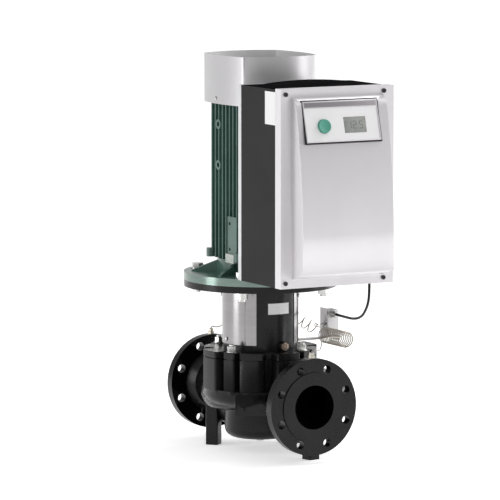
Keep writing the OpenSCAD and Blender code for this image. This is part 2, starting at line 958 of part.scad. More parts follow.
module lantern() {
    tube_r_out = lantern_d / 2;
    tube_r_in = tube_r_out - lantern_wall;
    color([0.15, 0.15, 0.16])
        difference() {
            union() {
                translate([0, 0, rim_z + relief_h])
                    linear_extrude(height = lantern_base_t - relief_h)
                        rim_outline();
                translate([0, 0, rim_z])
                    linear_extrude(height = relief_h + 1)
                        rim_outline(relief_in);
                translate([0, 0, lantern_base_z - 1])
                    cylinder(r = tube_r_out, h = lantern_h - lantern_base_t, $fn = 96);
                translate([0, 0, lantern_top_z - lantern_top_t])
                    cylinder(r = motor_flange_d / 2, h = lantern_top_t, $fn = 128);
                rotate([0, 0, vent_angle])
                    translate([tube_r_out - 4, 0, vent_z])
                        rotate([0, 90, 0])
                            cylinder(r = 12, h = vent_boss + 4);
            }
            translate([0, 0, rim_z - 1])
                cylinder(r = tube_r_in, h = lantern_h + 2, $fn = 96);
            translate([0, 0, lantern_top_z - spigot_h - seat])
                cylinder(r = spigot_r, h = spigot_h + 1, $fn = 96);
            around(4, casing_bolt_r, bolt_angle)
                translate([0, 0, rim_z - 1])
                    cylinder(d = casing_bolt_d + 1.5, h = lantern_base_t + 2);
            around(4, motor_bolt_circle_d / 2, 45)
                translate([0, 0, lantern_top_z - lantern_top_t - 1])
                    cylinder(d = motor_bolt_d + 2.5, h = lantern_top_t + 2);
            for (side = [0, 180])
                rotate([0, 0, side])
                    translate([0, 0, window_low_z])
                        arc_shell(tube_r_out + 5, tube_r_in - 5,
                            window_high_z - window_low_z, -window_half, window_half);
            for (side = [0, 180])
                rotate([0, 0, side])
                    guard_screw_places(tube_r_out)
                        translate([0, 0, -6])
                            cylinder(r = guard_screw_r + 0.1, h = 8);
            rotate([0, 0, vent_angle])
                translate([tube_r_out + vent_boss - 11, 0, vent_z])
                    rotate([0, 90, 0])
                        cylinder(r = vent_thread_r + seat / 2, h = 12);
        }
}

// Guard screws sit on the +X side here; the axis of each points outwards
module guard_screw_places(r) {
    for (place = guard_screws_at)
        rotate([0, 0, place[0]])
            translate([r, 0, place[1]])
                rotate([0, 90, 0])
                    children();
}

module guard() {
    color([0.8, 0.8, 0.81])
        difference() {
            translate([0, 0, guard_low_z]) {
                for (m = [0, 1])
                    mirror([0, m, 0]) {
                        arc_shell(guard_in_r + guard_t, guard_in_r,
                            guard_high_z - guard_low_z, joggle_angle - 1, guard_half);
                        arc_shell(guard_in_r + guard_t + joggle, guard_in_r,
                            guard_high_z - guard_low_z, joggle_angle - 1, joggle_angle);
                    }
                arc_shell(guard_in_r + guard_t + joggle, guard_in_r + joggle,
                    guard_high_z - guard_low_z, -joggle_angle, joggle_angle);
            }
            guard_screw_places(guard_in_r - 2)
                cylinder(r = guard_screw_r + 0.3, h = 8);
        }
}

module guard_right() {
    guard();
}

module guard_left() {
    rotate([0, 0, 180])
        guard();
}

module guard_screws() {
    head_z = joggle + guard_t;
    color([0.75, 0.75, 0.76])
        for (side = [0, 180])
            rotate([0, 0, side])
                guard_screw_places(guard_in_r) {
                    translate([0, 0, -5])
                        cylinder(r = guard_screw_r, h = 5 + head_z + 1);
                    translate([0, 0, head_z])
                        cylinder(r = 4, h = 2.5);
                }
}

module casing_bolts() {
    color([0.8, 0.8, 0.8])
        for (i = [0 : 3])
            rotate([0, 0, bolt_angle + 90 * i])
                translate([casing_bolt_r, 0, lantern_base_z + (i == sensor_bolt ? strip_t : 0)]) {
                    translate([0, 0, -lantern_base_t - stud_depth])
                        cylinder(d = casing_bolt_d - 0.2,
                            h = lantern_base_t + stud_depth + 18);
                    cylinder(d = 2 * casing_bolt_d, h = 2.5);
                    translate([0, 0, 2.5])
                        hex(1.5 * casing_bolt_d, 11);
                }
}

module vent_plug() {
    color([0.62, 0.53, 0.45])
        rotate([0, 0, vent_angle])
            translate([lantern_d / 2 + vent_boss, 0, vent_z])
                rotate([0, 90, 0])
                    difference() {
                        union() {
                            translate([0, 0, -10])
                                cylinder(r = vent_thread_r, h = 11);
                            hex(17, 7);
                            translate([0, 0, 6])
                                cylinder(r = 5.5, h = 4);
                        }
                        translate([-6, -0.8, 8.5])
                            cube([12, 1.6, 3]);
                    }
}

module drain_plug() {
    color([0.6, 0.6, 0.62])
        translate([0, 0, bowl_low_z - drain_boss]) {
            translate([0, 0, -5])
                hex(17, 5);
            translate([0, 0, -1])
                cylinder(r = drain_thread_r - 0.1, h = 10);
        }
}

module bearing_outer() {
    difference() {
        ring(bearing_out_r, bearing_pitch_r + 5, bearing_w);
        translate([0, 0, bearing_w / 2])
            rotate_extrude()
                translate([bearing_pitch_r, 0])
                    circle(r = race_r);
    }
}

module bearing_inner() {
    difference() {
        ring(bearing_pitch_r - 5, motor_shaft_r + run_fit, bearing_w);
        translate([0, 0, bearing_w / 2])
            rotate_extrude()
                translate([bearing_pitch_r, 0])
                    circle(r = race_r);
    }
}

module bearing_balls() {
    translate([0, 0, bearing_w / 2]) {
        around(cage_balls, bearing_pitch_r)
            sphere(r = ball_r, $fn = 32);
        translate([0, 0, -2])
            ring(bearing_pitch_r + 2, bearing_pitch_r - 2, 4);
    }
}

module drive_bearing_outer() {
    color([0.7, 0.7, 0.72])
        translate([0, 0, drive_bearing_z])
            bearing_outer();
}

module drive_bearing_balls() {
    color([0.85, 0.85, 0.87])
        translate([0, 0, drive_bearing_z])
            bearing_balls();
}

module drive_bearing_inner() {
    color([0.7, 0.7, 0.72])
        translate([0, 0, drive_bearing_z])
            bearing_inner();
}

module rear_bearing_outer() {
    color([0.7, 0.7, 0.72])
        translate([0, 0, rear_bearing_z])
            bearing_outer();
}

module rear_bearing_balls() {
    color([0.85, 0.85, 0.87])
        translate([0, 0, rear_bearing_z])
            bearing_balls();
}

module rear_bearing_inner() {
    color([0.7, 0.7, 0.72])
        translate([0, 0, rear_bearing_z])
            bearing_inner();
}

module gusset() {
    rotate([90, 0, 0])
        translate([0, 0, -4])
            linear_extrude(height = 8)
                polygon([
                    [neck_out_r - 4, motor_flange_z - 1],
                    [gusset_out_r, motor_flange_z - 1],
                    [gusset_out_r - 2, motor_flange_z + 3],
                    [neck_out_r + 2, housing_z - 6],
                    [neck_out_r - 4, housing_z - 6]
                ]);
}

module drive_end_shield() {
    color([0.24, 0.4, 0.35])
        difference() {
            union() {
                translate([0, 0, lantern_top_z])
                    cylinder(r = motor_flange_d / 2, h = motor_flange_t, $fn = 128);
                translate([0, 0, lantern_top_z - spigot_h])
                    cylinder(r = spigot_r - seat, h = spigot_h + 1, $fn = 96);
                translate([0, 0, motor_flange_z - 1])
                    ring(neck_out_r, neck_in_r, neck_h + 1);
                translate([0, 0, housing_z - 1])
                    ring(stator_out_r - seat, neck_in_r, 6);
                translate([0, 0, motor_flange_z - 1])
                    cylinder(r = bearing_out_r + 9, h = drive_bearing_z + bearing_w - motor_flange_z + 1);
                for (a = gusset_angles)
                    rotate([0, 0, a])
                        gusset();
            }
            translate([0, 0, lantern_top_z - spigot_h - 1])
                cylinder(r = motor_shaft_r + 3, h = 60);
            translate([0, 0, drive_bearing_z])
                cylinder(r = bearing_out_r + run_fit, h = 60);
            around(4, motor_bolt_circle_d / 2, 45)
                translate([0, 0, lantern_top_z - 1])
                    cylinder(d = motor_bolt_d + 2.5, h = motor_flange_t + 2);
        }
}

module flange_bolts() {
    stack = motor_flange_t + lantern_top_t;
    color([0.82, 0.82, 0.82])
        around(4, motor_bolt_circle_d / 2, 45)
            translate([0, 0, motor_flange_z]) {
                cylinder(d = 1.9 * motor_bolt_d, h = 2.5);
                translate([0, 0, 2.5])
                    hex(1.5 * motor_bolt_d, 10);
                translate([0, 0, -stack - 21])
                    cylinder(d = motor_bolt_d, h = stack + 24);
                translate([0, 0, -stack - 2.5])
                    cylinder(d = 1.9 * motor_bolt_d, h = 2.5);
                translate([0, 0, -stack - 16])
                    hex(1.5 * motor_bolt_d, 13.5);
            }
}

// One side of the finned housing, pointing along +X
module fin_row(skip = 0) {
    for (i = [0 : fin_count - 1])
        let(y = (i - (fin_count - 1) / 2) * fin_pitch)
            if (abs(y) >= skip)
                translate([0, y]) {
                    translate([housing_core_r - 30, -fin_t / 2])
                        square([fin_tip - housing_core_r + 30 - fin_t / 2, fin_t]);
                    translate([fin_tip - fin_t / 2, 0])
                        circle(r = fin_t / 2, $fn = 24);
                }
}

module side_boss(y, z, r) {
    translate([housing_core_r - 20, y, z])
        rotate([0, 90, 0])
            cylinder(r = r, h = fin_tip - housing_core_r + 20, $fn = 48);
}

module side_boss_hole(y, z, r) {
    translate([fin_tip - 14, y, z])
        rotate([0, 90, 0])
            cylinder(r = r, h = 20);
}

module motor_housing() {
    color([0.12, 0.3, 0.24])
        difference() {
            union() {
                translate([0, 0, housing_z])
                    cylinder(r = housing_core_r, h = housing_len, $fn = 96);
                translate([0, 0, housing_z])
                    linear_extrude(height = housing_len)
                        for (a = [0, 90, 180])
                            rotate([0, 0, a])
                                fin_row();
                translate([0, 0, housing_z])
                    linear_extrude(height = housing_len)
                        rotate([0, 0, -90])
                            fin_row(adapter_w / 2 - 4);
                for (m = [0, 180])
                    rotate([0, 0, m])
                        for (boss = side_bosses)
                            side_boss((m == 0 ? 1 : -1) * boss[0], boss[1], boss[2]);
                for (x = [-1, 1])
                    for (y = [-1, 1])
                        translate([x * lug_x, y * lug_y, housing_z])
                            cylinder(r = 9, h = 20);
                translate([-fin_tip - pad_proud, pad_y0, pad_z0])
                    cube([40, pad_y1 - pad_y0, pad_z1 - pad_z0]);
                translate([-adapter_w / 2 - 2, -fin_tip, adapter_z - 8])
                    cube([adapter_w + 4, 40, adapter_h + 16]);
            }
            translate([0, 0, housing_z - 1])
                cylinder(r = stator_out_r + run_fit, h = housing_len + 2, $fn = 96);
            for (m = [0, 180])
                rotate([0, 0, m])
                    for (boss = side_bosses)
                        side_boss_hole((m == 0 ? 1 : -1) * boss[0], boss[1], boss[3]);
        }
}

module stator_core() {
    color([0.45, 0.45, 0.47])
        translate([0, 0, stator_mid_z - stator_len / 2])
            difference() {
                ring(stator_out_r, stator_in_r, stator_len);
                around(24, stator_in_r - 2)
                    translate([0, -2, -1])
                        cube([17, 4, stator_len + 2]);
            }
}

module stator_windings() {
    color([0.72, 0.42, 0.2])
        for (end = [-1, 1])
            translate([0, 0, stator_mid_z + end * (stator_len + winding_h) / 2 - winding_h / 2])
                ring(stator_out_r - 7, stator_in_r + 3, winding_h);
}

module rotor_core() {
    color([0.5, 0.5, 0.52])
        translate([0, 0, stator_mid_z - stator_len / 2])
            difference() {
                ring(stator_in_r - air_gap, motor_shaft_r + run_fit, stator_len);
                around(8, stator_in_r - 11)
                    translate([-2, -9, -1])
                        cube([4, 18, stator_len + 2]);
            }
}

module motor_shaft() {
    color([0.75, 0.75, 0.77])
        translate([0, 0, coupling_mid_z + 1])
            cylinder(r = motor_shaft_r, h = fan_z + 32 - coupling_mid_z);
}

module coupling_half() {
    difference() {
        translate([0, 0, coupling_z])
            ring(coupling_r, motor_shaft_r + run_fit, coupling_len);
        translate([-2 * coupling_r, -4 * coupling_r + coupling_gap / 2, coupling_z - 1])
            cube([4 * coupling_r, 4 * coupling_r, coupling_len + 2]);
        translate([0, 0, coupling_z - 1])
            cylinder(r = shaft_r + 3, h = 7);
        coupling_screw_places()
            translate([0, 0, -coupling_r - 1])
                cylinder(d = clamp_screw_d + 0.4, h = 2 * coupling_r + 2);
        coupling_screw_places()
            translate([0, 0, clamp_head_y])
                cylinder(d = 2 * clamp_screw_d, h = coupling_r);
    }
}

module coupling_screw_places() {
    for (x = [-1, 1])
        for (z = [-1, 1])
            translate([x * (motor_shaft_r + 9), 0, coupling_mid_z + z * coupling_len / 4])
                rotate([-90, 0, 0])
                    children();
}

module coupling_half_rear() {
    color([0.5, 0.5, 0.52])
        coupling_half();
}

module coupling_half_front() {
    color([0.5, 0.5, 0.52])
        rotate([0, 0, 180])
            coupling_half();
}

module coupling_screws() {
    color([0.2, 0.2, 0.22])
        coupling_screw_places() {
            translate([0, 0, -clamp_head_y - 6])
                cylinder(d = clamp_screw_d, h = 2 * clamp_head_y + 7);
            translate([0, 0, clamp_head_y])
                cylinder(d = 1.6 * clamp_screw_d, h = clamp_screw_d);
            translate([0, 0, -clamp_head_y - 6])
                hex(1.5 * clamp_screw_d, 6);
        }
}

module rear_end_shield() {
    hub_low = rear_bearing_z - 3;
    color([0.2, 0.34, 0.29])
        difference() {
            union() {
                translate([0, 0, housing_top_z])
                    cylinder(r = housing_core_r + 8, h = rear_shield_t, $fn = 96);
                translate([0, 0, housing_top_z - 6])
                    cylinder(r = stator_out_r - seat, h = 7, $fn = 96);
                translate([0, 0, hub_low])
                    cylinder(r = bearing_out_r + 8, h = rear_shield_top - hub_low);
                cowl_screw_places(-cowl_lug_len)
                    translate([1 - rear_shield_t / 2, -7, 0])
                        cube([rear_shield_t - 2, 14, cowl_lug_len - 2 * seat]);
            }
            translate([0, 0, hub_low - 1])
                cylinder(r = bearing_out_r + run_fit,
                    h = rear_bearing_z + bearing_w - hub_low + 1);
            translate([0, 0, hub_low])
                cylinder(r = motor_shaft_r + 2, h = 60);
            cowl_screw_places(-12)
                cylinder(r = cowl_screw_r + seat / 2, h = 14);
        }
}

module cooling_fan() {
    color([0.1, 0.1, 0.11])
        translate([0, 0, fan_z])
            difference() {
                union() {
                    cylinder(r = motor_shaft_r + 8, h = 28);
                    cylinder(r = fan_r - 10, h = 3);
                    for (i = [0 : 8])
                        rotate([0, 0, 40 * i])
                            translate([motor_shaft_r + 4, -1.25, 0])
                                cube([fan_r - motor_shaft_r - 4, 2.5, blade_h]);
                }
                translate([0, 0, -1])
                    cylinder(r = motor_shaft_r + run_fit, h = blade_h + 2);
            }
}

// Plan of the cowl: four bulged sides that meet in sharp upright corners
module cowl_plan(inset) {
    intersection() {
        side_pair(cowl_reach_x - cowl_arc_x, cowl_arc_x - inset, 0);
        side_pair(cowl_reach_y - cowl_arc_y, cowl_arc_y - inset, 90);
    }
}

module side_pair(shift, r, turn) {
    intersection_for(side = [0, 180])
        rotate([0, 0, turn + side])
            translate([shift, 0])
                circle(r = r, $fn = 180);
}

// Cowl screws, one on each side, their axes square to the bulged sheet
module cowl_screw_places(shift) {
    for (k = [0 : 3])
        let(arc = k % 2 == 0 ? cowl_arc_x : cowl_arc_y)
            let(reach = k % 2 == 0 ? cowl_reach_x : cowl_reach_y)
                rotate([0, 0, 180 + 90 * k])
                    translate([reach - arc, 0, cowl_screw_z])
                        rotate([0, 0, -asin(cowl_screw_off / arc)])
                            translate([arc - cowl_wall + shift, 0, 0])
                                rotate([0, 90, 0])
                                    children();
}

module fan_cowl() {
    color([0.82, 0.82, 0.83])
        difference() {
            translate([0, 0, cowl_z])
                linear_extrude(height = cowl_h)
                    difference() {
                        cowl_plan(0);
                        cowl_plan(cowl_wall);
                    }
            cowl_screw_places(-2)
                cylinder(r = cowl_screw_r + 0.4, h = 20);
        }
}

module cowl_grille() {
    color([0.3, 0.3, 0.31])
        translate([0, 0, grille_z])
            linear_extrude(height = grille_t)
                difference() {
                    cowl_plan(cowl_wall + seat);
                    difference() {
                        intersection() {
                            circle(r = grille_r, $fn = 96);
                            cowl_plan(cowl_wall + 10);
                        }
                        for (i = [0 : 3])
                            rotate([0, 0, 45 * i])
                                square([3 * grille_r, grille_t], center = true);
                        for (r = [18 : 11 : grille_r - 2])
                            difference() {
                                circle(r = r, $fn = 96);
                                circle(r = r - 3, $fn = 96);
                            }
                    }
                }
}

module cowl_screws() {
    color([0.5, 0.5, 0.52])
        cowl_screw_places(0) {
            translate([0, 0, -10])
                cylinder(r = cowl_screw_r, h = 10 + cowl_wall + 1);
            translate([0, 0, cowl_wall])
                cylinder(r = 4.2, h = 2.4);
        }
}

module cable_entry_cover() {
    reach = 6;
    low_z = housing_z - 5;
    color([0.85, 0.87, 0.84])
        difference() {
            translate([-fin_tip - reach, entry_y0, low_z])
                cube([reach, entry_w, pad_z0 - low_z - seat]);
            translate([0, 0, low_z - 1])
                cylinder(r = neck_out_r + seat, h = housing_z - low_z + 1);
            for (z = [5 : 4 : 13])
                translate([-fin_tip - reach - 1, entry_y0 + 4, low_z + z])
                    cube([1.8, entry_w - 8, 1.2]);
        }
}

module module_adapter() {
    color([0.12, 0.12, 0.13])
        translate([-adapter_w / 2, -sink_back_y, adapter_z])
            difference() {
                cube([adapter_w, sink_back_y - fin_tip, adapter_h]);
                translate([10, -1, 10])
                    cube([adapter_w - 20, sink_back_y - fin_tip + 2, adapter_h - 20]);
            }
}

module heat_sink() {
    fin_from = adapter_w / 2 + 10;
    color([0.72, 0.73, 0.74]) {
        translate([-housing_w / 2, -housing_back_y, box_z])
            cube([housing_w, sink_t, box_h - 2]);
        for (side = [-1, 1])
            for (x = [fin_from : sink_pitch : housing_w / 2 - 20])
                translate([side * x - 1.5, -sink_back_y - 1, box_z + 14])
                    cube([3, sink_back_y - sink_fin_y + 1, box_h - 30]);
    }
}

// Places of the cover screws, seen from the front, with the axis along -Y
module cover_screw_places(y) {
    for (x = [-cover_screw_left, cover_screw_right])
        for (z = [box_z + cover_screw_in, box_top - cover_screw_in])
            translate([x, -y, z])
                rotate([90, 0, 0])
                    children();
}

// Low crown across the box's top, as wide as given
module crown(w) {
    arch_r = (pow(w / 2, 2) + pow(crown_rise, 2)) / (2 * crown_rise);
    intersection() {
        translate([0, 0, crown_rise - arch_r])
            rotate([90, 0, 0])
                cylinder(r = arch_r, h = crown_len, $fn = 360);
        translate([-w / 2, -crown_len, -1])
            cube([w, crown_len, crown_rise + 2]);
    }
}

module electronics_housing() {
    deep = housing_front_y - housing_back_y;
    color([0.24, 0.24, 0.25])
        difference() {
            union() {
                difference() {
                    translate([-housing_w / 2, -housing_front_y, box_z])
                        cube([housing_w, deep, box_h - 2]);
                    translate([-housing_w / 2 + housing_wall, -housing_front_y - 1,
                        box_z + housing_wall])
                        cube([housing_w - 2 * housing_wall, deep - housing_wall + 1,
                            box_h - 2 - 2 * housing_wall]);
                }
                cover_screw_places(housing_back_y + 2)
                    cylinder(r = 7, h = deep - 2);
                for (c = crowns)
                    translate([c[0], -housing_back_y - c[2], box_top - 2])
                        crown(c[1]);
                translate([box_gland_x - gland_well_r - 4,
                    -box_gland_y - gland_well_r - 4, box_z])
                    cube([2 * gland_well_r + 7, 2 * gland_well_r + 8,
                        gland_well_h + housing_wall]);
            }
            translate([box_gland_x, -box_gland_y, box_z - 1])
                cylinder(r = gland_well_r, h = gland_well_h + 1);
            cover_screw_places(housing_front_y - cover_screw_in_len)
                cylinder(d = cover_screw_d + seat, h = cover_screw_in_len + 1);
            translate([box_gland_x, -box_gland_y, box_z + gland_well_h - 1])
                cylinder(r = gland_neck_r + seat, h = housing_wall + 2);
        }
}

module circuit_board() {
    board_y = housing_back_y + 34;
    color([0.1, 0.35, 0.2]) {
        translate([-board_w / 2, -board_y - 1.6, box_z + 40])
            cube([board_w, 1.6, board_h]);
        for (x = [-1, 1])
            for (z = [50, board_h + 30])
                translate([x * (board_w / 2 - 10), -housing_back_y - housing_wall, box_z + z])
                    rotate([90, 0, 0])
                        cylinder(r = 4, h = 34 - housing_wall + 1);
        for (x = [-60 : 40 : 60])
            translate([x, -board_y - 1, box_z + 120])
                rotate([90, 0, 0])
                    cylinder(r = 15, h = 45);
        translate([-70, -board_y - 24, box_z + 190])
            cube([140, 23, 60]);
    }
}

module cover_gasket() {
    color([0.1, 0.1, 0.1])
        difference() {
            translate([-housing_w / 2, -cover_back_y, box_z])
                cube([housing_w, gasket_t, box_h - 2]);
            difference() {
                translate([-housing_w / 2 + gasket_w, -cover_back_y - 1, box_z + gasket_w])
                    cube([housing_w - 2 * gasket_w, gasket_t + 2, box_h - 2 - 2 * gasket_w]);
                cover_screw_places(housing_front_y - 1)
                    cylinder(r = 7, h = gasket_t + 2);
            }
            cover_screw_places(housing_front_y - 1)
                cylinder(d = cover_screw_d + 2 * seat, h = gasket_t + 2);
        }
}

// Curve of the hood's front, upright at its foot and leaning back towards the top
function hood_front(inset) = [
    for (i = [0 : hood_steps])
        let(s = i / hood_steps)
        [inset - cover_y - hood_depth + (hood_depth - hood_top_depth) * s * s,
            hood_bend_z + (hood_top_z - 2 * inset - hood_bend_z) * s]
];

// Outer shape of the cover, made smaller by an inset for its hollow side
module cover_shape(inset) {
    side_w = cover_w - 2 * inset;
    translate([-side_w / 2, -cover_y + inset, box_z + inset])
        cube([side_w, lip_d - inset + (inset > 0 ? 1 : 0), box_h - 2 * inset]);
    translate([-hood_w / 2 + inset, 0, 0])
        rotate([90, 0, 90])
            linear_extrude(height = hood_w - 2 * inset)
                polygon([
                    [-cover_y + cover_wall + 1, hood_low_z + inset],
                    [-cover_y, hood_low_z + inset],
                    [-cover_y - hood_depth + inset, hood_face_low_z + inset],
                    each hood_front(inset),
                    [-cover_y, hood_top_z + 12 - 2 * inset],
                    [-cover_y + cover_wall + 1, hood_top_z + 12 - 2 * inset]
                ]);
}

module at_panel() {
    translate([panel_x, -panel_low_y, panel_low_z])
        rotate([90 - panel_tilt, 0, 0])
            children();
}

module panel_block(grow, low, high) {
    translate([-grow, -grow, low])
        cube([panel_w + 2 * grow, panel_len + 2 * grow, high - low]);
}

module housing_cover() {
    color([0.85, 0.85, 0.86])
        difference() {
            union() {
                difference() {
                    cover_shape(0);
                    cover_shape(cover_wall);
                }
                intersection() {
                    cover_shape(0);
                    at_panel()
                        panel_block(cover_wall, -panel_deep - cover_wall, 0);
                }
                cover_screw_places(cover_back_y)
                    cylinder(r = 7, h = lip_d);
            }
            at_panel()
                panel_block(panel_fit, -panel_deep, 60);
            cover_screw_places(cover_back_y - 1)
                cylinder(d = cover_screw_d + 2 * seat, h = lip_d + 2);
        }
}

module cover_screws() {
    color([0.7, 0.7, 0.71])
        cover_screw_places(cover_y)
            difference() {
                union() {
                    translate([0, 0, -lip_d - gasket_t - cover_screw_in_len + 3])
                        cylinder(d = cover_screw_d,
                            h = lip_d + gasket_t + cover_screw_in_len - 2);
                    cylinder(d = 2 * cover_screw_d, h = 3);
                }
                translate([0, 0, 1])
                    hex(0.8 * cover_screw_d, 3);
            }
}

module panel_frame() {
    floor_z = -face_sink - face_t;
    face_w = panel_w - 2 * panel_border;
    face_len = panel_len - panel_head - panel_border;
    color([0.62, 0.63, 0.64])
        at_panel()
            difference() {
                panel_block(0, -panel_deep, 0);
                translate([panel_border, panel_border, floor_z])
                    cube([face_w, face_len, panel_deep]);
                translate([display_u - 4, display_v - 4, floor_z - display_t])
                    cube([display_w + 8, display_h + 8, panel_deep]);
                translate([knob_u, knob_v, 0]) {
                    translate([0, 0, well_z])
                        cylinder(r = knob_d / 2 + knob_clear, h = panel_deep);
                    translate([0, 0, 2 - panel_deep])
                        cylinder(r = encoder_r + run_fit, h = panel_deep);
                }
            }
}

module panel_face() {
    face_w = panel_w - 2 * panel_border;
    face_len = panel_len - panel_head - panel_border;
    color([0.92, 0.92, 0.93])
        at_panel()
            difference() {
                translate([panel_border + seat, panel_border + seat, -face_sink - face_t])
                    cube([face_w - 2 * seat, face_len - 2 * seat, face_t]);
                translate([display_u, display_v, -panel_deep])
                    cube([display_w, display_h, 2 * panel_deep]);
                translate([knob_u, knob_v, -panel_deep])
                    cylinder(r = knob_d / 2 + knob_clear, h = 2 * panel_deep);
            }
}

module display_module() {
    color([0.2, 0.2, 0.22])
        at_panel()
            translate([display_u - 4 + seat, display_v - 4 + seat,
                -face_sink - face_t - display_t])
                cube([display_w + 8 - 2 * seat, display_h + 8 - 2 * seat, display_t]);
}

module display_lens() {
    color([0.55, 0.56, 0.53])
        at_panel()
            translate([display_u + seat, display_v + seat, -face_sink - face_t])
                cube([display_w - 2 * seat, display_h - 2 * seat, face_t - 0.3]);
}

module encoder_shaft() {
    color([0.7, 0.7, 0.72])
        at_panel()
            translate([knob_u, knob_v, 3 - panel_deep])
                cylinder(r = encoder_r, h = panel_deep - 3 + encoder_top, $fn = 48);
}

module control_knob() {
    color([0.33, 0.62, 0.55])
        at_panel()
            translate([knob_u, knob_v, 0])
                difference() {
                    union() {
                        translate([0, 0, knob_low])
                            cylinder(r = knob_d / 2, h = knob_h - knob_low - knob_edge);
                        translate([0, 0, knob_h - knob_edge])
                            cylinder(r1 = knob_d / 2, r2 = knob_d / 2 - knob_edge,
                                h = knob_edge);
                    }
                    translate([0, 0, knob_low - 1])
                        cylinder(r = encoder_r + run_fit,
                            h = encoder_top + knob_travel + 0.4 - knob_low + 1, $fn = 48);
                }
}

module sensor_bracket() {
    color([0.72, 0.72, 0.73])
        difference() {
            union() {
                translate([strip_x - 11, strip_y - strip_w / 2, strip_z])
                    cube([bracket_x - strip_x + 11, strip_w, strip_t]);
                translate([bracket_x - strip_t, sensor_y, strip_z])
                    cube([strip_t, sensor_d, sensor_z + sensor_h + 4 - strip_z]);
            }
            translate([strip_x, strip_y, strip_z - 1])
                cylinder(d = casing_bolt_d + 1, h = strip_t + 2);
        }
}

module pressure_sensor() {
    color([0.7, 0.7, 0.71]) {
        translate([sensor_x, sensor_y, sensor_z])
            cube([sensor_w, sensor_d, sensor_h]);
        translate([port_x, strip_y, sensor_z])
            rotate([180, 0, 0])
                sensor_port();
        translate([port_x, sensor_y + sensor_d, sensor_z + port_h])
            rotate([-90, 0, 0])
                sensor_port();
    }
}

module sensor_port() {
    difference() {
        translate([0, 0, -1])
            cylinder(r = port_r, h = port_len + 1);
        translate([0, 0, port_len - tube_grip - 1])
            cylinder(r = tube_r + seat, h = tube_grip + 2);
    }
}

module gland() {
    difference() {
        union() {
            hex(2 * gland_r, gland_hex_h);
            translate([0, 0, gland_hex_h - 1])
                cylinder(r = gland_r - 0.5, h = gland_hex_h);
            translate([0, 0, 2 * gland_hex_h - 2])
                cylinder(r1 = gland_r - 0.5, r2 = gland_r - 3,
                    h = gland_len - 2 * gland_hex_h + 2);
        }
        translate([0, 0, gland_len - lead_grip - 1])
            cylinder(r = lead_r + seat / 2, h = gland_len);
    }
}

module cable_glands() {
    color([0.12, 0.12, 0.13]) {
        translate([gland_x, sensor_y, gland_z])
            rotate([90, 0, 0])
                gland();
        translate([box_gland_x, -box_gland_y, box_z + gland_well_h])
            rotate([180, 0, 0]) {
                gland();
                translate([0, 0, -housing_wall - 0.5])
                    cylinder(r = gland_neck_r, h = housing_wall + 1);
            }
    }
}

module sensor_lead() {
    color([0.05, 0.05, 0.05])
        tube(smooth(lead_points, 6), lead_r, 10);
}

module tap_fittings() {
    color([0.72, 0.68, 0.56])
        for (side = [-1, 1])
            translate([0, side * tap_y, tap_z - spot_face])
                difference() {
                    union() {
                        translate([0, 0, -9])
                            cylinder(r = tap_thread_r - seat / 2, h = 10);
                        hex(14, tap_h / 2);
                        hex(11, tap_h);
                    }
                    translate([0, 0, tap_h - tube_grip - 1])
                        cylinder(r = tube_r + seat, h = tube_grip + 2);
                }
}

module discharge_capillary() {
    color([0.75, 0.75, 0.76])
        tube(concat(
            smooth(discharge_points, 4),
            coil_path(coil_from, coil_to, coil_r, coil_turns, 14),
            smooth(coil_tail, 3)
        ), tube_r);
}

module suction_capillary() {
    color([0.75, 0.75, 0.76])
        tube(concat(
            smooth(suction_points, 4),
            coil_path(loop_from, loop_to, loop_r, 3, 16),
            smooth(loop_tail, 4)
        ), tube_r);
}

module blank_labels() {
    color([0.95, 0.95, 0.95]) {
        translate([0, 0, lantern_label_z])
            arc_shell(lantern_d / 2 + label_t, lantern_d / 2 + seat / 2, 25, -107, -70);
        translate([-housing_w / 2 - label_t, -housing_front_y + 1, box_top - 81])
            cube([label_t - seat / 2, 46, 73]);
    }
}

volute_casing();
wear_ring();
casing_cover();
casing_o_ring();
seal_seat();
lantern();
casing_bolts();
vent_plug();
drain_plug();
guard_left();
guard_right();
guard_screws();
drive_end_shield();
flange_bolts();
drive_bearing_outer();
drive_bearing_balls();
drive_bearing_inner();
motor_housing();
stator_core();
stator_windings();
rear_end_shield();
rear_bearing_outer();
rear_bearing_balls();
rear_bearing_inner();
fan_cowl();
cowl_grille();
cowl_screws();
cable_entry_cover();
module_adapter();
heat_sink();
electronics_housing();
circuit_board();
cover_gasket();
housing_cover();
cover_screws();
panel_frame();
panel_face();
display_module();
display_lens();
encoder_shaft();
control_knob();
sensor_bracket();
pressure_sensor();
cable_glands();
sensor_lead();
tap_fittings();
discharge_capillary();
suction_capillary();
blank_labels();
motor_shaft();
rotor_core();
cooling_fan();
coupling_half_front();
coupling_half_rear();
coupling_screws();
pump_shaft();
seal_head();
seal_spring();
impeller();
impeller_nut();
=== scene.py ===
import json
import math

import bmesh
import bpy
from bpy.props import FloatProperty, FloatVectorProperty, PointerProperty
from bpy.types import Operator, Panel, PropertyGroup
from mathutils import Matrix, Vector


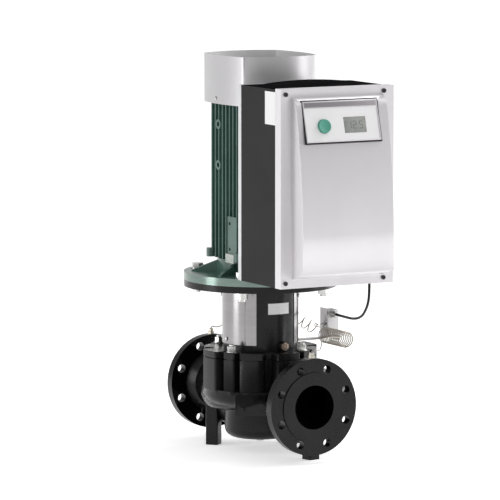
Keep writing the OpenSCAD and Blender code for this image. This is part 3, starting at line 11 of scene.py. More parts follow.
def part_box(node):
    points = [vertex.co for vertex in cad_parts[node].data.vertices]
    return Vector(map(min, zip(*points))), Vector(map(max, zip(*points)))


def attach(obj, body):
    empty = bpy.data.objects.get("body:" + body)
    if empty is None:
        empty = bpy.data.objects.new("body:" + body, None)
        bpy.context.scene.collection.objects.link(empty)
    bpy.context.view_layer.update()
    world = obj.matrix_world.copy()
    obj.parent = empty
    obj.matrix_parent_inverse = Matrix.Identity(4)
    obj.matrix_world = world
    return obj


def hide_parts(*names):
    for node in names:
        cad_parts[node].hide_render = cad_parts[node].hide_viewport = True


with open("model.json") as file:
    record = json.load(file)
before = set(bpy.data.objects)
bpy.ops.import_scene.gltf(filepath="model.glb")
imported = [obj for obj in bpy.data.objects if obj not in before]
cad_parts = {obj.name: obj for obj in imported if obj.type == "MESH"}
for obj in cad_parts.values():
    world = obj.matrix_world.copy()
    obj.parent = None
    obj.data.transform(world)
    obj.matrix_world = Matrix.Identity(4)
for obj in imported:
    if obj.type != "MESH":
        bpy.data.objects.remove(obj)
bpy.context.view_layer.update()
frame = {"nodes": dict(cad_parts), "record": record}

MM = 0.001

bl_info = {
    "name": "In-line pump dresser",
    "version": (1, 0, 0),
    "blender": (4, 5, 0),
    "location": "View3D > Sidebar > Pump",
    "description": "Dresses the in-line pump with its finishes, its panel details and a studio",
    "category": "Object",
}


# Settings that a user would change

class PumpFinishSettings(PropertyGroup):
    """Colours of the pump's main finishes"""
    casing_black: FloatVectorProperty(
        name="Casing black", description="Paint of the casing and the lantern",
        subtype="COLOR", size=3, min=0, max=1, default=(0.0085, 0.008, 0.0085))
    motor_green: FloatVectorProperty(
        name="Motor green", description="Enamel of the motor",
        subtype="COLOR", size=3, min=0, max=1, default=(0.066, 0.148, 0.118))
    cowl_silver: FloatVectorProperty(
        name="Cowl silver", description="Metal of the fan cowl",
        subtype="COLOR", size=3, min=0, max=1, default=(0.56, 0.55, 0.56))
    cover_silver: FloatVectorProperty(
        name="Cover silver", description="Paint of the box cover",
        subtype="COLOR", size=3, min=0, max=1, default=(0.76, 0.74, 0.76))
    box_grey: FloatVectorProperty(
        name="Box grey", description="Plastic of the electronics housing",
        subtype="COLOR", size=3, min=0, max=1, default=(0.018, 0.0165, 0.018))
    knob_green: FloatVectorProperty(
        name="Knob green", description="Plastic of the control knob",
        subtype="COLOR", size=3, min=0, max=1, default=(0.09, 0.36, 0.27))
    panel_white: FloatVectorProperty(
        name="Panel white", description="Front sheet of the control panel",
        subtype="COLOR", size=3, min=0, max=1, default=(0.9, 0.89, 0.9))


class PumpShapeSettings(PropertyGroup):
    """Roundings of the edges, and sizes of the panel's dark seal, which is painted shade in its
    gap, and of its knob
    """
    cast_edge: FloatProperty(
        name="Cast edge", description="Rounding of cast edges", unit="LENGTH",
        min=0.0, max=0.005, default=0.0018)
    sheet_edge: FloatProperty(
        name="Sheet edge", description="Rounding of sheet and machined edges", unit="LENGTH",
        min=0.0, max=0.003, default=0.0005)
    hood_edge: FloatProperty(
        name="Hood edge", description="Rounding of the cover's hood", unit="LENGTH",
        min=0.001, max=0.012, default=0.008)
    rim_edge: FloatProperty(
        name="Rim edge", description="Rounding of the cover's rim", unit="LENGTH",
        min=0.0, max=0.004, default=0.0025)
    box_edge: FloatProperty(
        name="Box edge", description="Rounding of the electronics housing", unit="LENGTH",
        min=0.0, max=0.004, default=0.0015)
    # The panel gap holds a dark seal, which is painted shade in the gap round the panel
    panel_gap: FloatProperty(
        name="Panel gap", description="Dark seal that shows round the panel", unit="LENGTH",
        min=0.0005, max=0.003, default=0.0025)
    knob_height: FloatProperty(
        name="Knob height", description="Height of the knob over the panel", unit="LENGTH",
        min=0.004, max=0.009, default=0.0045)


class PumpStudioSettings(PropertyGroup):
    """Lights of the studio"""
    key_power: FloatProperty(
        name="Key power", description="Power of the key softbox", unit="POWER",
        min=0.0, default=16.5)
    side_power: FloatProperty(
        name="Side power", description="Power of the softbox at the left", unit="POWER",
        min=0.0, default=13.0)
    strip_power: FloatProperty(
        name="Strip power", description="Power of the narrow softbox at the right", unit="POWER",
        min=0.0, default=7.0)
    top_power: FloatProperty(
        name="Top power", description="Power of the softbox at the upper right", unit="POWER",
        min=0.0, default=34.0)
    room: FloatProperty(
        name="Room light", description="Strength of the room's even light",
        min=0.0, max=2.0, default=0.7)


def new_group(name, inputs, outputs):
    """An empty shader node group with named sockets."""
    tree = bpy.data.node_groups.new(name, "ShaderNodeTree")
    for label, kind, value in inputs:
        socket = tree.interface.new_socket(name=label, in_out="INPUT", socket_type=kind)
        if value is not None:
            socket.default_value = value
    for label, kind in outputs:
        tree.interface.new_socket(name=label, in_out="OUTPUT", socket_type=kind)
    return tree, tree.nodes.new("NodeGroupInput"), tree.nodes.new("NodeGroupOutput")


def math_node(tree, operation, a, b=None):
    """A Math node's output, from values or from other nodes' outputs."""
    node = tree.nodes.new("ShaderNodeMath")
    node.operation = operation
    for place, value in enumerate((a, b)):
        if value is None:
            continue
        if isinstance(value, (int, float)):
            node.inputs[place].default_value = value
        else:
            tree.links.new(value, node.inputs[place])
    return node.outputs[0]


def noise(tree, vector, scale, detail=3.0):
    """A Noise Texture's output at a scale that is a value or another node's output."""
    node = tree.nodes.new("ShaderNodeTexNoise")
    node.inputs["Detail"].default_value = detail
    node.inputs["Roughness"].default_value = 0.55
    tree.links.new(vector, node.inputs["Vector"])
    if isinstance(scale, (int, float)):
        node.inputs["Scale"].default_value = scale
    else:
        tree.links.new(scale, node.inputs["Scale"])
    return node.outputs["Fac"]


# Shares of the fine grain and of the patches in how the gloss changes
GRAIN_SHARE = 0.4
PATCH_SHARE = 1.6


def surface_group():
    """Grain, cloudy patches and a changing gloss, all from one vector."""
    if "Pump surface" in bpy.data.node_groups:
        return bpy.data.node_groups["Pump surface"]
    tree, source, sink = new_group(
        "Pump surface",
        [("Vector", "NodeSocketVector", None),
         ("Color", "NodeSocketColor", (0.5, 0.5, 0.5, 1)),
         ("Shade", "NodeSocketFloat", 0.8),
         ("Grain Scale", "NodeSocketFloat", 900.0),
         ("Patch Scale", "NodeSocketFloat", 18.0),
         ("Roughness", "NodeSocketFloat", 0.4),
         ("Spread", "NodeSocketFloat", 0.1)],
        [("Color", "NodeSocketColor"),
         ("Roughness", "NodeSocketFloat"),
         ("Height", "NodeSocketFloat")])
    grain = noise(tree, source.outputs["Vector"], source.outputs["Grain Scale"], 2.0)
    patch = noise(tree, source.outputs["Vector"], source.outputs["Patch Scale"], 4.0)
    dark = tree.nodes.new("ShaderNodeVectorMath")
    dark.operation = "SCALE"
    tree.links.new(source.outputs["Color"], dark.inputs[0])
    tree.links.new(source.outputs["Shade"], dark.inputs["Scale"])
    mix = tree.nodes.new("ShaderNodeMix")
    mix.data_type = "RGBA"
    ramp = tree.nodes.new("ShaderNodeMapRange")
    ramp.inputs["From Min"].default_value = 0.35
    ramp.inputs["From Max"].default_value = 0.68
    tree.links.new(patch, ramp.inputs["Value"])
    tree.links.new(ramp.outputs["Result"], mix.inputs["Factor"])
    tree.links.new(source.outputs["Color"], mix.inputs["A"])
    tree.links.new(dark.outputs["Vector"], mix.inputs["B"])
    tree.links.new(mix.outputs["Result"], sink.inputs["Color"])
    swing = math_node(tree, "ADD", math_node(tree, "MULTIPLY", grain, GRAIN_SHARE),
                      math_node(tree, "MULTIPLY", patch, PATCH_SHARE))
    swing = math_node(tree, "SUBTRACT", swing, (GRAIN_SHARE + PATCH_SHARE) / 2)
    gloss = math_node(tree, "ADD", source.outputs["Roughness"],
                      math_node(tree, "MULTIPLY", swing, source.outputs["Spread"]))
    tree.links.new(gloss, sink.inputs["Roughness"])
    tree.links.new(grain, sink.inputs["Height"])
    return tree


# How fine the patches of the painted edge highlight are, and how much duller the edges under it
# get
EDGE_PATCH_SCALE = 60.0
EDGE_DULLING = 0.15


def edge_highlight_group():
    """Paints highlights: lightens a colour along edges and dulls its gloss there, broken up by
    noise.
    """
    if "Pump edge wear" in bpy.data.node_groups:
        return bpy.data.node_groups["Pump edge wear"]
    tree, source, sink = new_group(
        "Pump edge wear",
        [("Vector", "NodeSocketVector", None),
         ("Color", "NodeSocketColor", (0.5, 0.5, 0.5, 1)),
         ("Worn Color", "NodeSocketColor", (0.5, 0.5, 0.5, 1)),
         ("Roughness", "NodeSocketFloat", 0.4),
         ("Radius", "NodeSocketFloat", 0.0012),
         ("Amount", "NodeSocketFloat", 0.5)],
        [("Color", "NodeSocketColor"),
         ("Roughness", "NodeSocketFloat")])
    rounded = tree.nodes.new("ShaderNodeBevel")
    rounded.samples = 4
    tree.links.new(source.outputs["Radius"], rounded.inputs["Radius"])
    flat = tree.nodes.new("ShaderNodeNewGeometry")
    likeness = tree.nodes.new("ShaderNodeVectorMath")
    likeness.operation = "DOT_PRODUCT"
    tree.links.new(rounded.outputs["Normal"], likeness.inputs[0])
    tree.links.new(flat.outputs["Normal"], likeness.inputs[1])
    edge = tree.nodes.new("ShaderNodeMapRange")
    edge.inputs["From Min"].default_value = 0.98
    edge.inputs["From Max"].default_value = 0.8
    tree.links.new(likeness.outputs["Value"], edge.inputs["Value"])
    patch = tree.nodes.new("ShaderNodeMapRange")
    patch.inputs["From Min"].default_value = 0.4
    patch.inputs["From Max"].default_value = 0.6
    tree.links.new(noise(tree, source.outputs["Vector"], EDGE_PATCH_SCALE),
                   patch.inputs["Value"])
    mask = math_node(tree, "MULTIPLY", edge.outputs["Result"], patch.outputs["Result"])
    mask = math_node(tree, "MULTIPLY", mask, source.outputs["Amount"])
    mix = tree.nodes.new("ShaderNodeMix")
    mix.data_type = "RGBA"
    tree.links.new(mask, mix.inputs["Factor"])
    tree.links.new(source.outputs["Color"], mix.inputs["A"])
    tree.links.new(source.outputs["Worn Color"], mix.inputs["B"])
    tree.links.new(mix.outputs["Result"], sink.inputs["Color"])
    dull = math_node(tree, "ADD", source.outputs["Roughness"],
                     math_node(tree, "MULTIPLY", mask, EDGE_DULLING))
    tree.links.new(dull, sink.inputs["Roughness"])
    return tree


def finish(name, colour, rough=0.4, metal=0.0, shade=0.8, grain=900.0, patch=18.0, spread=0.1,
           bump=0.1, depth=0.0002, stretch=(1, 1, 1), coat=0.0, coat_rough=0.1, specular=0.5,
           worn=None, worn_amount=0.5):
    """A Principled material whose colour, gloss and relief come from the surface group."""
    material = bpy.data.materials.new(name)
    material.use_nodes = True
    tree = material.node_tree
    shader = tree.nodes["Principled BSDF"]
    shader.inputs["Metallic"].default_value = metal
    shader.inputs["Coat Weight"].default_value = coat
    shader.inputs["Coat Roughness"].default_value = coat_rough
    shader.inputs["Specular IOR Level"].default_value = specular
    place = tree.nodes.new("ShaderNodeTexCoord")
    mapping = tree.nodes.new("ShaderNodeMapping")
    mapping.inputs["Scale"].default_value = stretch
    tree.links.new(place.outputs["Object"], mapping.inputs["Vector"])
    surface = tree.nodes.new("ShaderNodeGroup")
    surface.node_tree = surface_group()
    tree.links.new(mapping.outputs["Vector"], surface.inputs["Vector"])
    surface.inputs["Color"].default_value = (*colour, 1)
    surface.inputs["Shade"].default_value = shade
    surface.inputs["Grain Scale"].default_value = grain
    surface.inputs["Patch Scale"].default_value = patch
    surface.inputs["Roughness"].default_value = rough
    surface.inputs["Spread"].default_value = spread
    top = surface
    # Painted highlight: the edges get a lighter colour, as if they caught the light
    if worn:
        top = tree.nodes.new("ShaderNodeGroup")
        top.node_tree = edge_highlight_group()
        tree.links.new(mapping.outputs["Vector"], top.inputs["Vector"])
        tree.links.new(surface.outputs["Color"], top.inputs["Color"])
        tree.links.new(surface.outputs["Roughness"], top.inputs["Roughness"])
        top.inputs["Worn Color"].default_value = (*worn, 1)
        top.inputs["Amount"].default_value = worn_amount
    tree.links.new(top.outputs["Color"], shader.inputs["Base Color"])
    tree.links.new(top.outputs["Roughness"], shader.inputs["Roughness"])
    relief = tree.nodes.new("ShaderNodeBump")
    relief.inputs["Strength"].default_value = bump
    relief.inputs["Distance"].default_value = depth
    tree.links.new(surface.outputs["Height"], relief.inputs["Height"])
    tree.links.new(relief.outputs["Normal"], shader.inputs["Normal"])
    return material


FINISHES = {}


def build_finishes(look):
    """All finishes of the pump, by the name of the record's material slot."""
    def add(name, colour, **values):
        FINISHES[name] = finish(name, colour, **values)

    # The colours given for the edges below are painted highlights along the edges
    add("casing_black", look.casing_black, rough=0.23, shade=0.7, grain=420, patch=22,
        spread=0.2, bump=0.4, depth=0.0006, specular=0.24, worn=(0.04, 0.038, 0.038),
        worn_amount=0.6)
    # Painted shade for the inside of the ports: black with no gloss
    add("bore_black", (0.002, 0.002, 0.002), rough=0.8, shade=0.7, grain=420, patch=22,
        specular=0.0)
    add("motor_green", look.motor_green, rough=0.3, shade=0.72, grain=500, patch=14,
        spread=0.08, bump=0.22, depth=0.0004, coat=0.25, coat_rough=0.15, specular=0.5,
        worn=(0.24, 0.37, 0.31), worn_amount=0.9)
    add("flange_edge_green", (0.19, 0.25, 0.225), rough=0.2, metal=0.8, shade=0.85, grain=700,
        patch=20, spread=0.08, bump=0.15, depth=0.0002, stretch=(1, 1, 6))
    add("cowl_grey", look.cowl_silver, rough=0.34, metal=0.6, shade=0.95, grain=1500, patch=9,
        spread=0.05, bump=0.05, depth=0.0001)
    # Painted light: a lighter, more matte copy of the cowl's metal for its inner faces
    add("cowl_inside", (0.78, 0.77, 0.78), rough=0.5, metal=0.1, shade=0.92, grain=1500,
        patch=9, spread=0.05, bump=0.05, depth=0.0001)
    add("grille_black", (0.02, 0.02, 0.02), rough=0.5, grain=800)
    add("cover_silver", look.cover_silver, rough=0.42, metal=0.6, shade=0.95, grain=2200,
        patch=7, spread=0.04, bump=0.06, depth=0.0001, coat=0.15, coat_rough=0.25)
    add("panel_grey", (0.74, 0.72, 0.74), rough=0.4, metal=0.4, shade=0.95, grain=2200,
        patch=12, spread=0.05, bump=0.05, depth=0.0001)
    add("panel_head", (0.34, 0.32, 0.34), rough=0.42, metal=0.4, shade=0.93, grain=2200,
        patch=16, spread=0.05, bump=0.05, depth=0.0001)
    add("panel_white", look.panel_white, rough=0.38, shade=0.97, grain=1800, patch=14,
        spread=0.04, bump=0.03, depth=0.0001)
    add("box_dark", look.box_grey, rough=0.45, shade=0.88, grain=1500, patch=8, spread=0.08,
        bump=0.3, depth=0.0002, specular=0.12, worn=(0.07, 0.068, 0.07), worn_amount=0.4)
    # Painted shade for the top of the electronics box: darker, with no gloss
    add("box_top", (0.008, 0.0075, 0.008), rough=0.7, shade=0.8, grain=1500, patch=12, bump=0.3,
        specular=0.0)
    add("cover_screw", (0.06, 0.06, 0.062), rough=0.35, metal=0.9, shade=0.7, grain=1500,
        patch=80, bump=0.1, depth=0.0001)
    add("adapter_black", (0.012, 0.012, 0.013), rough=0.5, grain=1200, bump=0.2)
    add("sink_aluminium", (0.72, 0.73, 0.74), rough=0.4, metal=0.9, shade=0.88, grain=1000,
        patch=30, bump=0.15, depth=0.0002)
    add("stainless_sheet", (0.31, 0.3, 0.305), rough=0.18, metal=1.0, shade=0.9, grain=300,
        patch=6, spread=0.06, bump=0.05, depth=0.0001, stretch=(1, 1, 12))
    add("bolt_zinc", (0.7, 0.7, 0.68), rough=0.3, metal=1.0, shade=0.8, grain=1200, patch=60,
        bump=0.1, depth=0.0001)
    add("plug_steel", (0.5, 0.5, 0.5), rough=0.4, metal=1.0, shade=0.7, grain=1200, patch=60)
    add("vent_brass", (0.34, 0.27, 0.22), rough=0.34, metal=0.9, shade=0.6, grain=900, patch=90,
        bump=0.15)
    add("tap_nickel", (0.6, 0.57, 0.5), rough=0.32, metal=1.0, shade=0.75, grain=900, patch=70)
    add("capillary_steel", (0.42, 0.38, 0.33), rough=0.3, metal=1.0, shade=0.8, grain=900,
        patch=60)
    # The sensor's metal, and a lighter copy of it for its front faces: painted light on the
    # front, painted shade on the sides
    add("sensor_steel", (0.26, 0.25, 0.26), rough=0.36, metal=0.85, shade=0.9, grain=1400,
        patch=20, bump=0.08)
    add("sensor_front", (0.78, 0.76, 0.78), rough=0.4, metal=0.3, shade=0.95, grain=1400,
        patch=20, bump=0.05)
    add("gland_black", (0.012, 0.012, 0.012), rough=0.42, grain=1600, bump=0.15)
    add("lead_black", (0.008, 0.0075, 0.008), rough=0.45, grain=2000, bump=0.08, specular=0.15)
    add("knob_green", look.knob_green, rough=0.42, shade=0.94, grain=2400, patch=30,
        spread=0.04, bump=0.08)
    add("display_dark", (0.67, 0.66, 0.64), rough=0.35, shade=0.7, grain=3000, patch=26,
        bump=0.02)
    add("digit_dark", (0.05, 0.055, 0.045), rough=0.4, shade=0.85, grain=3000, patch=60,
        bump=0.02)
    add("entry_white", (0.6, 0.64, 0.6), rough=0.5, shade=0.85, grain=1200, patch=40, bump=0.15)
    add("label_white", (0.92, 0.92, 0.92), rough=0.35, shade=0.97, grain=3000, patch=20,
        bump=0.03)
    add("wear_brass", (0.6, 0.45, 0.22), rough=0.3, metal=1.0, grain=500, stretch=(1, 1, 8))
    add("seal_rubber", (0.012, 0.012, 0.012), rough=0.6, grain=1500, bump=0.2)
    add("seal_ceramic", (0.62, 0.6, 0.56), rough=0.3, grain=1500)
    add("bearing_steel", (0.65, 0.65, 0.66), rough=0.15, metal=1.0, grain=900, bump=0.02)
    add("lamination", (0.3, 0.3, 0.31), rough=0.45, metal=0.9, grain=500, stretch=(0.1, 0.1, 6),
        bump=0.4)
    add("winding_copper", (0.5, 0.2, 0.07), rough=0.35, metal=0.6, grain=300, bump=0.4,
        coat=0.5)
    add("board_green", (0.01, 0.1, 0.04), rough=0.3, grain=900, coat=0.4)
    add("shaft_steel", (0.6, 0.6, 0.61), rough=0.22, metal=1.0, grain=500, stretch=(1, 1, 8))
    add("coupling_iron", (0.16, 0.16, 0.165), rough=0.45, metal=0.8, grain=500, bump=0.2)
    add("impeller_steel", (0.45, 0.46, 0.47), rough=0.32, metal=1.0, grain=500, bump=0.15)
    FINISHES["display_glass"] = display_glass()


def display_glass():
    """The clear display window: lightly smoked, with a faint grain in its gloss."""
    material = finish("display_glass", (0.8, 0.82, 0.8), rough=0.08, shade=0.98, grain=2600,
                      patch=30, spread=0.03, bump=0.01)
    shader = material.node_tree.nodes["Principled BSDF"]
    shader.inputs["Transmission Weight"].default_value = 0.9
    shader.inputs["IOR"].default_value = 1.45
    return material


# Material slot and body of each CAD node
RECORD_SLOT = {s["node"]: s["material_slot"] for s in frame["record"]["subparts"]}
NODE_BODY = {n: b for b, ns in frame["record"]["behaviour"]["bodies"].items() for n in ns}

# Vertices of a CAD node closer than this are one, and faces that turn less are flat
WELD_GAP = 2e-6
FLAT_TURN = math.radians(0.6)

# Degrees up to which the faces of CAD copies, and of blocks and turned pieces, look smooth
CAD_SMOOTH = 32
BLOCK_SMOOTH = 50

# Height and radius of the ports' bores, and where they start and end, in metres; their inside
# gets painted shade
PORT_Z = 0.130
BORE_R = 0.052
PORT_STEP_Y = 0.205
PORT_FACE_Y = 0.246

# Depth of the motor flange's green rim, and of the band on the box's top that gets painted
# shade, in metres
FLANGE_RIM = 0.002
BOX_SHADED_TOP = 0.012

# The cover in metres: front of its rim, width and lower end of its hood, how close to a
# plane an edge counts as on it, and the length up to which a hood edge isn't rounded
RIM_Y = -0.350
HOOD_W = 0.232
HOOD_LOW_Z = 0.436
ON_PLANE = 0.0006
SHORT_EDGE = 0.004

# The sloping panel: its lower left corner in metres, its slope, then millimetres on it,
# with u to the right, v up the slope and w out of it
PANEL = (Matrix.Translation((-0.102, -0.391, 0.738))
         @ Matrix.Rotation(math.radians(75), 4, "X"))
PANEL_W = 194.0
PANEL_LEN = 97.0
PANEL_HEAD = 18.0

# The frame's rounding, and how close to the outline a vertex counts as on it
FRAME_EDGE = 1.1
OUTER_FACE = 0.1

# The dark seal that paints shade in the panel's gap: its top and foot in w, and how far it
# reaches out of the panel and under it
SHADE_SEAL_TOP = -2.4
SHADE_SEAL_LOW = -9.8
SHADE_SEAL_OUT = 0.25
SHADE_SEAL_LAP = 0.1

# The head strip: its gaps to the seal and to the white sheet, and its foot and top in w
STRIP_GAP = 3.0
STRIP_LIFT = 1.5
STRIP_LOW = -0.5
STRIP_TOP = 0.4
STRIP_EDGE = 0.35

# The display: place, size and top, and the window over it
DISPLAY_U = 101.0
DISPLAY_V = 21.0
DISPLAY_W = 56.0
DISPLAY_H = 36.0
DISPLAY_TOP = -2.8
WINDOW_GAP = 0.2
WINDOW_LIFT = 0.3
WINDOW_T = 1.0
WINDOW_EDGE = 0.25

# The digits: cell width, bar width in cells, start, steps in cells, lift and thickness
DIGIT_CELL = 8.5
DIGIT_BAR = 0.16
DIGIT_START = 11.0
DIGIT_STEP = 1.45
POINT_STEP = 0.45
DIGIT_LIFT = 0.02
DIGIT_T = 0.18

# The knob: place, diameter and the thickness over its bore
KNOB_U = 50.0
KNOB_V = 38.0
KNOB_D = 31.0
KNOB_ROOF = 2.0

# The encoder's shaft: radius, clearance, end below the knob's top, length of its end
ENCODER_R = 3.0
ENCODER_GAP = 0.05
ENCODER_BELOW = 3.7
ENCODER_END = 0.6

# The glands on the two sides of this x, in metres, have metals of their own
GLAND_SPLIT_X = 0.18


def settle(piece, body, slot, *nodes):
    """Gives a piece its finish and its body, and hides the nodes that it stands for."""
    piece.data.materials.clear()
    piece.data.materials.append(FINISHES[slot])
    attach(piece, body)
    if nodes:
        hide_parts(*nodes)
    return piece


def keep_node(node):
    """A CAD node that stays as it is gets its finish in its material slots."""
    piece = frame["nodes"][node]
    if not piece.material_slots:
        piece.data.materials.append(None)
    for place in piece.material_slots:
        place.material = FINISHES[RECORD_SLOT[node]]


def mesh_piece(name, bm):
    """A new object from a bmesh, with its faces pointing outwards."""
    bmesh.ops.recalc_face_normals(bm, faces=bm.faces)
    mesh = bpy.data.meshes.new(name)
    bm.to_mesh(mesh)
    bm.free()
    piece = bpy.data.objects.new(name, mesh)
    bpy.context.scene.collection.objects.link(piece)
    return piece


def smooth_by_angle(piece, degrees):
    for face in piece.data.polygons:
        face.use_smooth = True
    piece.data.set_sharp_from_angle(angle=math.radians(degrees))


def bevel_edges(piece, width, segments=2, degrees=35):
    bevel = piece.modifiers.new("edge rounding", "BEVEL")
    bevel.width = width
    bevel.segments = segments
    bevel.limit_method = "ANGLE"
    bevel.angle_limit = math.radians(degrees)
    return bevel


def welded(node):
    """A CAD node's mesh with its vertices merged and its flat faces joined."""
    bm = bmesh.new()
    bm.from_mesh(frame["nodes"][node].data)
    bmesh.ops.remove_doubles(bm, verts=bm.verts, dist=WELD_GAP)
    bmesh.ops.dissolve_limit(bm, angle_limit=FLAT_TURN, verts=bm.verts, edges=bm.edges)
    return bm


def rounded_copy(node, width, segments=2, degrees=38, smooth=CAD_SMOOTH):
    """A welded copy of a CAD node with rounded edges and smooth curved faces."""
    piece = mesh_piece(node + "_rounded", welded(node))
    smooth_by_angle(piece, smooth)
    if width > 0:
        bevel_edges(piece, width, segments, degrees)
    return settle(piece, NODE_BODY[node], RECORD_SLOT[node], node)


def paint_where(piece, slot, chosen):
    """Gives the faces that are chosen a finish of their own."""
    piece.data.materials.append(FINISHES[slot])
    for face in piece.data.polygons:
        if chosen(face):
            face.material_index = 1


def looks_forward(face):
    """Whether a face looks to the pump's front."""
    return face.normal.y < -0.7


def inside_port(face):
    """Whether a face lies inside one of the two ports."""
    x, y, z = face.center
    in_bore = PORT_STEP_Y < abs(y) < PORT_FACE_Y and math.hypot(x, z - PORT_Z) < BORE_R
    inward = x * face.normal.x + (z - PORT_Z) * face.normal.z < 0
    return in_bore and (inward or abs(face.normal.y) > 0.9)


def faces_the_motor(face):
    """Whether an upright face looks towards the motor's axis."""
    return abs(face.normal.z) < 0.3 and face.normal.xy.dot(face.center.xy) < 0


def edge_weights(piece, weigh):
    """Sets the bevel weight of each edge between two faces, from the edge and its middle."""
    bm = bmesh.new()
    bm.from_mesh(piece.data)
    layer = bm.edges.layers.float.new("bevel_weight_edge")
    for edge in bm.edges:
        if len(edge.link_faces) == 2:
            middle = (edge.verts[0].co + edge.verts[1].co) / 2
            edge[layer] = weigh(edge, middle)
    bm.to_mesh(piece.data)
    bm.free()


def round_cover(shape):
    """The cover's copy, with wide rounding on the hood and a narrow one on the rim."""
    piece = rounded_copy("housing_cover", 0, smooth=36)
    low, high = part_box("housing_cover")
    rim_weight = shape.rim_edge / shape.hood_edge

    def on_plane(value, plane):
        return abs(value - plane) < ON_PLANE

    def weigh(edge, middle):
        if edge.calc_face_angle(0) < math.radians(35):
            return 0.0
        on_hood = on_plane(abs(middle.x), HOOD_W / 2) or on_plane(middle.z, HOOD_LOW_Z)
        if on_hood and middle.y < RIM_Y + ON_PLANE and edge.calc_length() > SHORT_EDGE:
            return 1.0
        outline = (on_plane(middle.x, low[0]) or on_plane(middle.x, high[0])
                   or on_plane(middle.z, low[2]) or on_plane(middle.z, high[2]))
        return rim_weight if outline else 0.0

    edge_weights(piece, weigh)
    bevel = bevel_edges(piece, shape.hood_edge, 5)
    bevel.limit_method = "WEIGHT"


def panel_place(bm):
    """Puts a mesh that is built flat in millimetres onto the sloping panel."""
    bmesh.ops.scale(bm, vec=(MM, MM, MM), verts=bm.verts)
    bmesh.ops.transform(bm, matrix=PANEL, verts=bm.verts)


def panel_plate(bm, low, high):
    """A block from its lowest to its highest corner, in the panel's millimetres."""
    made = bmesh.ops.create_cube(bm, size=1.0)
    size = [b - a for a, b in zip(low, high)]
    middle = [(a + b) / 2 for a, b in zip(low, high)]
    bmesh.ops.scale(bm, vec=size, verts=made["verts"])
    bmesh.ops.translate(bm, vec=middle, verts=made["verts"])


def panel_block(name, low, high, edge):
    """A block on the panel, as an object with rounded edges."""
    bm = bmesh.new()
    panel_plate(bm, low, high)
    bmesh.ops.bevel(
        bm, geom=bm.edges[:], offset=edge, segments=2, profile=0.5,
        affect="EDGES", clamp_overlap=True, material=-1)
    panel_place(bm)
    piece = mesh_piece(name, bm)
    smooth_by_angle(piece, BLOCK_SMOOTH)
    return piece


def slim_frame(gap):
    """The panel's frame, drawn in all round so that the dark seal, painted shade in the gap,
    shows.
    """
    bm = welded("panel_frame")
    bmesh.ops.transform(bm, matrix=PANEL.inverted(), verts=bm.verts)
    for vert in bm.verts:
        for axis, reach in ((0, PANEL_W), (1, PANEL_LEN)):
            if abs(vert.co[axis]) < OUTER_FACE * MM:
                vert.co[axis] += gap
            elif abs(vert.co[axis] - reach * MM) < OUTER_FACE * MM:
                vert.co[axis] -= gap
    bmesh.ops.transform(bm, matrix=PANEL, verts=bm.verts)
    piece = mesh_piece("panel_frame_slim", bm)
    smooth_by_angle(piece, CAD_SMOOTH)
    bevel_edges(piece, FRAME_EDGE * MM, 3)
    settle(piece, NODE_BODY["panel_frame"], "panel_grey", "panel_frame")


def panel_seal(gap):
    """A dark seal that fills the gap between the cover's pocket and the panel, as painted shade
    in that gap.
    """
    bm = bmesh.new()
    bmesh.ops.create_grid(bm, x_segments=1, y_segments=1, size=0.5)
    bmesh.ops.scale(bm, vec=(PANEL_W + 2 * SHADE_SEAL_OUT, PANEL_LEN + 2 * SHADE_SEAL_OUT, 1),
                    verts=bm.verts)
    bmesh.ops.translate(bm, vec=(PANEL_W / 2, PANEL_LEN / 2, SHADE_SEAL_TOP), verts=bm.verts)
    middle = bm.faces[:]
    bmesh.ops.inset_region(
        bm, faces=middle, thickness=gap / MM + SHADE_SEAL_LAP, use_boundary=True,
        use_even_offset=True)
    bmesh.ops.delete(bm, geom=middle, context="FACES")
    grown = bmesh.ops.extrude_face_region(bm, geom=bm.faces[:])
    moved = [item for item in grown["geom"] if isinstance(item, bmesh.types.BMVert)]
    bmesh.ops.translate(bm, vec=(0, 0, SHADE_SEAL_LOW - SHADE_SEAL_TOP), verts=moved)
    panel_place(bm)
    settle(mesh_piece("panel_seal", bm), NODE_BODY["panel_frame"], "seal_rubber")


def head_strip(gap):
    """The grey strip that runs along the head of the panel."""
    edge = gap / MM + STRIP_GAP
    piece = panel_block(
        "panel_head_strip", (edge, PANEL_LEN - PANEL_HEAD + STRIP_LIFT, STRIP_LOW),
        (PANEL_W - edge, PANEL_LEN - edge, STRIP_TOP), STRIP_EDGE)
    settle(piece, NODE_BODY["panel_frame"], "panel_grey")
    piece.data.materials[0] = FINISHES["panel_head"]


def display_window():
    """The clear window, raised off the display so that the digits lie under it."""
    low = DISPLAY_TOP + WINDOW_LIFT
    piece = panel_block(
        "display_window", (DISPLAY_U + WINDOW_GAP, DISPLAY_V + WINDOW_GAP, low),
        (DISPLAY_U + DISPLAY_W - WINDOW_GAP, DISPLAY_V + DISPLAY_H - WINDOW_GAP,
         low + WINDOW_T), WINDOW_EDGE)
    settle(piece, NODE_BODY["display_lens"], "display_glass", "display_lens")


def digit_bars(sign):
    """Bars of one seven-bar digit, as lowest and highest corners in a 1 x 2 cell."""
    bar = DIGIT_BAR
    under, over = 1 - bar / 2, 1 + bar / 2
    places = {
        "top": ((bar, 2 - bar), (1 - bar, 2)),
        "middle": ((bar, under), (1 - bar, over)),
        "foot": ((bar, 0), (1 - bar, bar)),
        "high_left": ((0, over), (bar, 2 - bar)),
        "low_left": ((0, bar), (bar, under)),
        "high_right": ((1 - bar, over), (1, 2 - bar)),
        "low_right": ((1 - bar, bar), (1, under)),
        "point": ((0, 0), (bar, bar))}
    used = {
        "1": ("high_right", "low_right"),
        "2": ("top", "high_right", "middle", "low_left", "foot"),
        "5": ("top", "high_left", "middle", "low_right", "foot"),
        ".": ("point",)}
    return [places[name] for name in used[sign]]


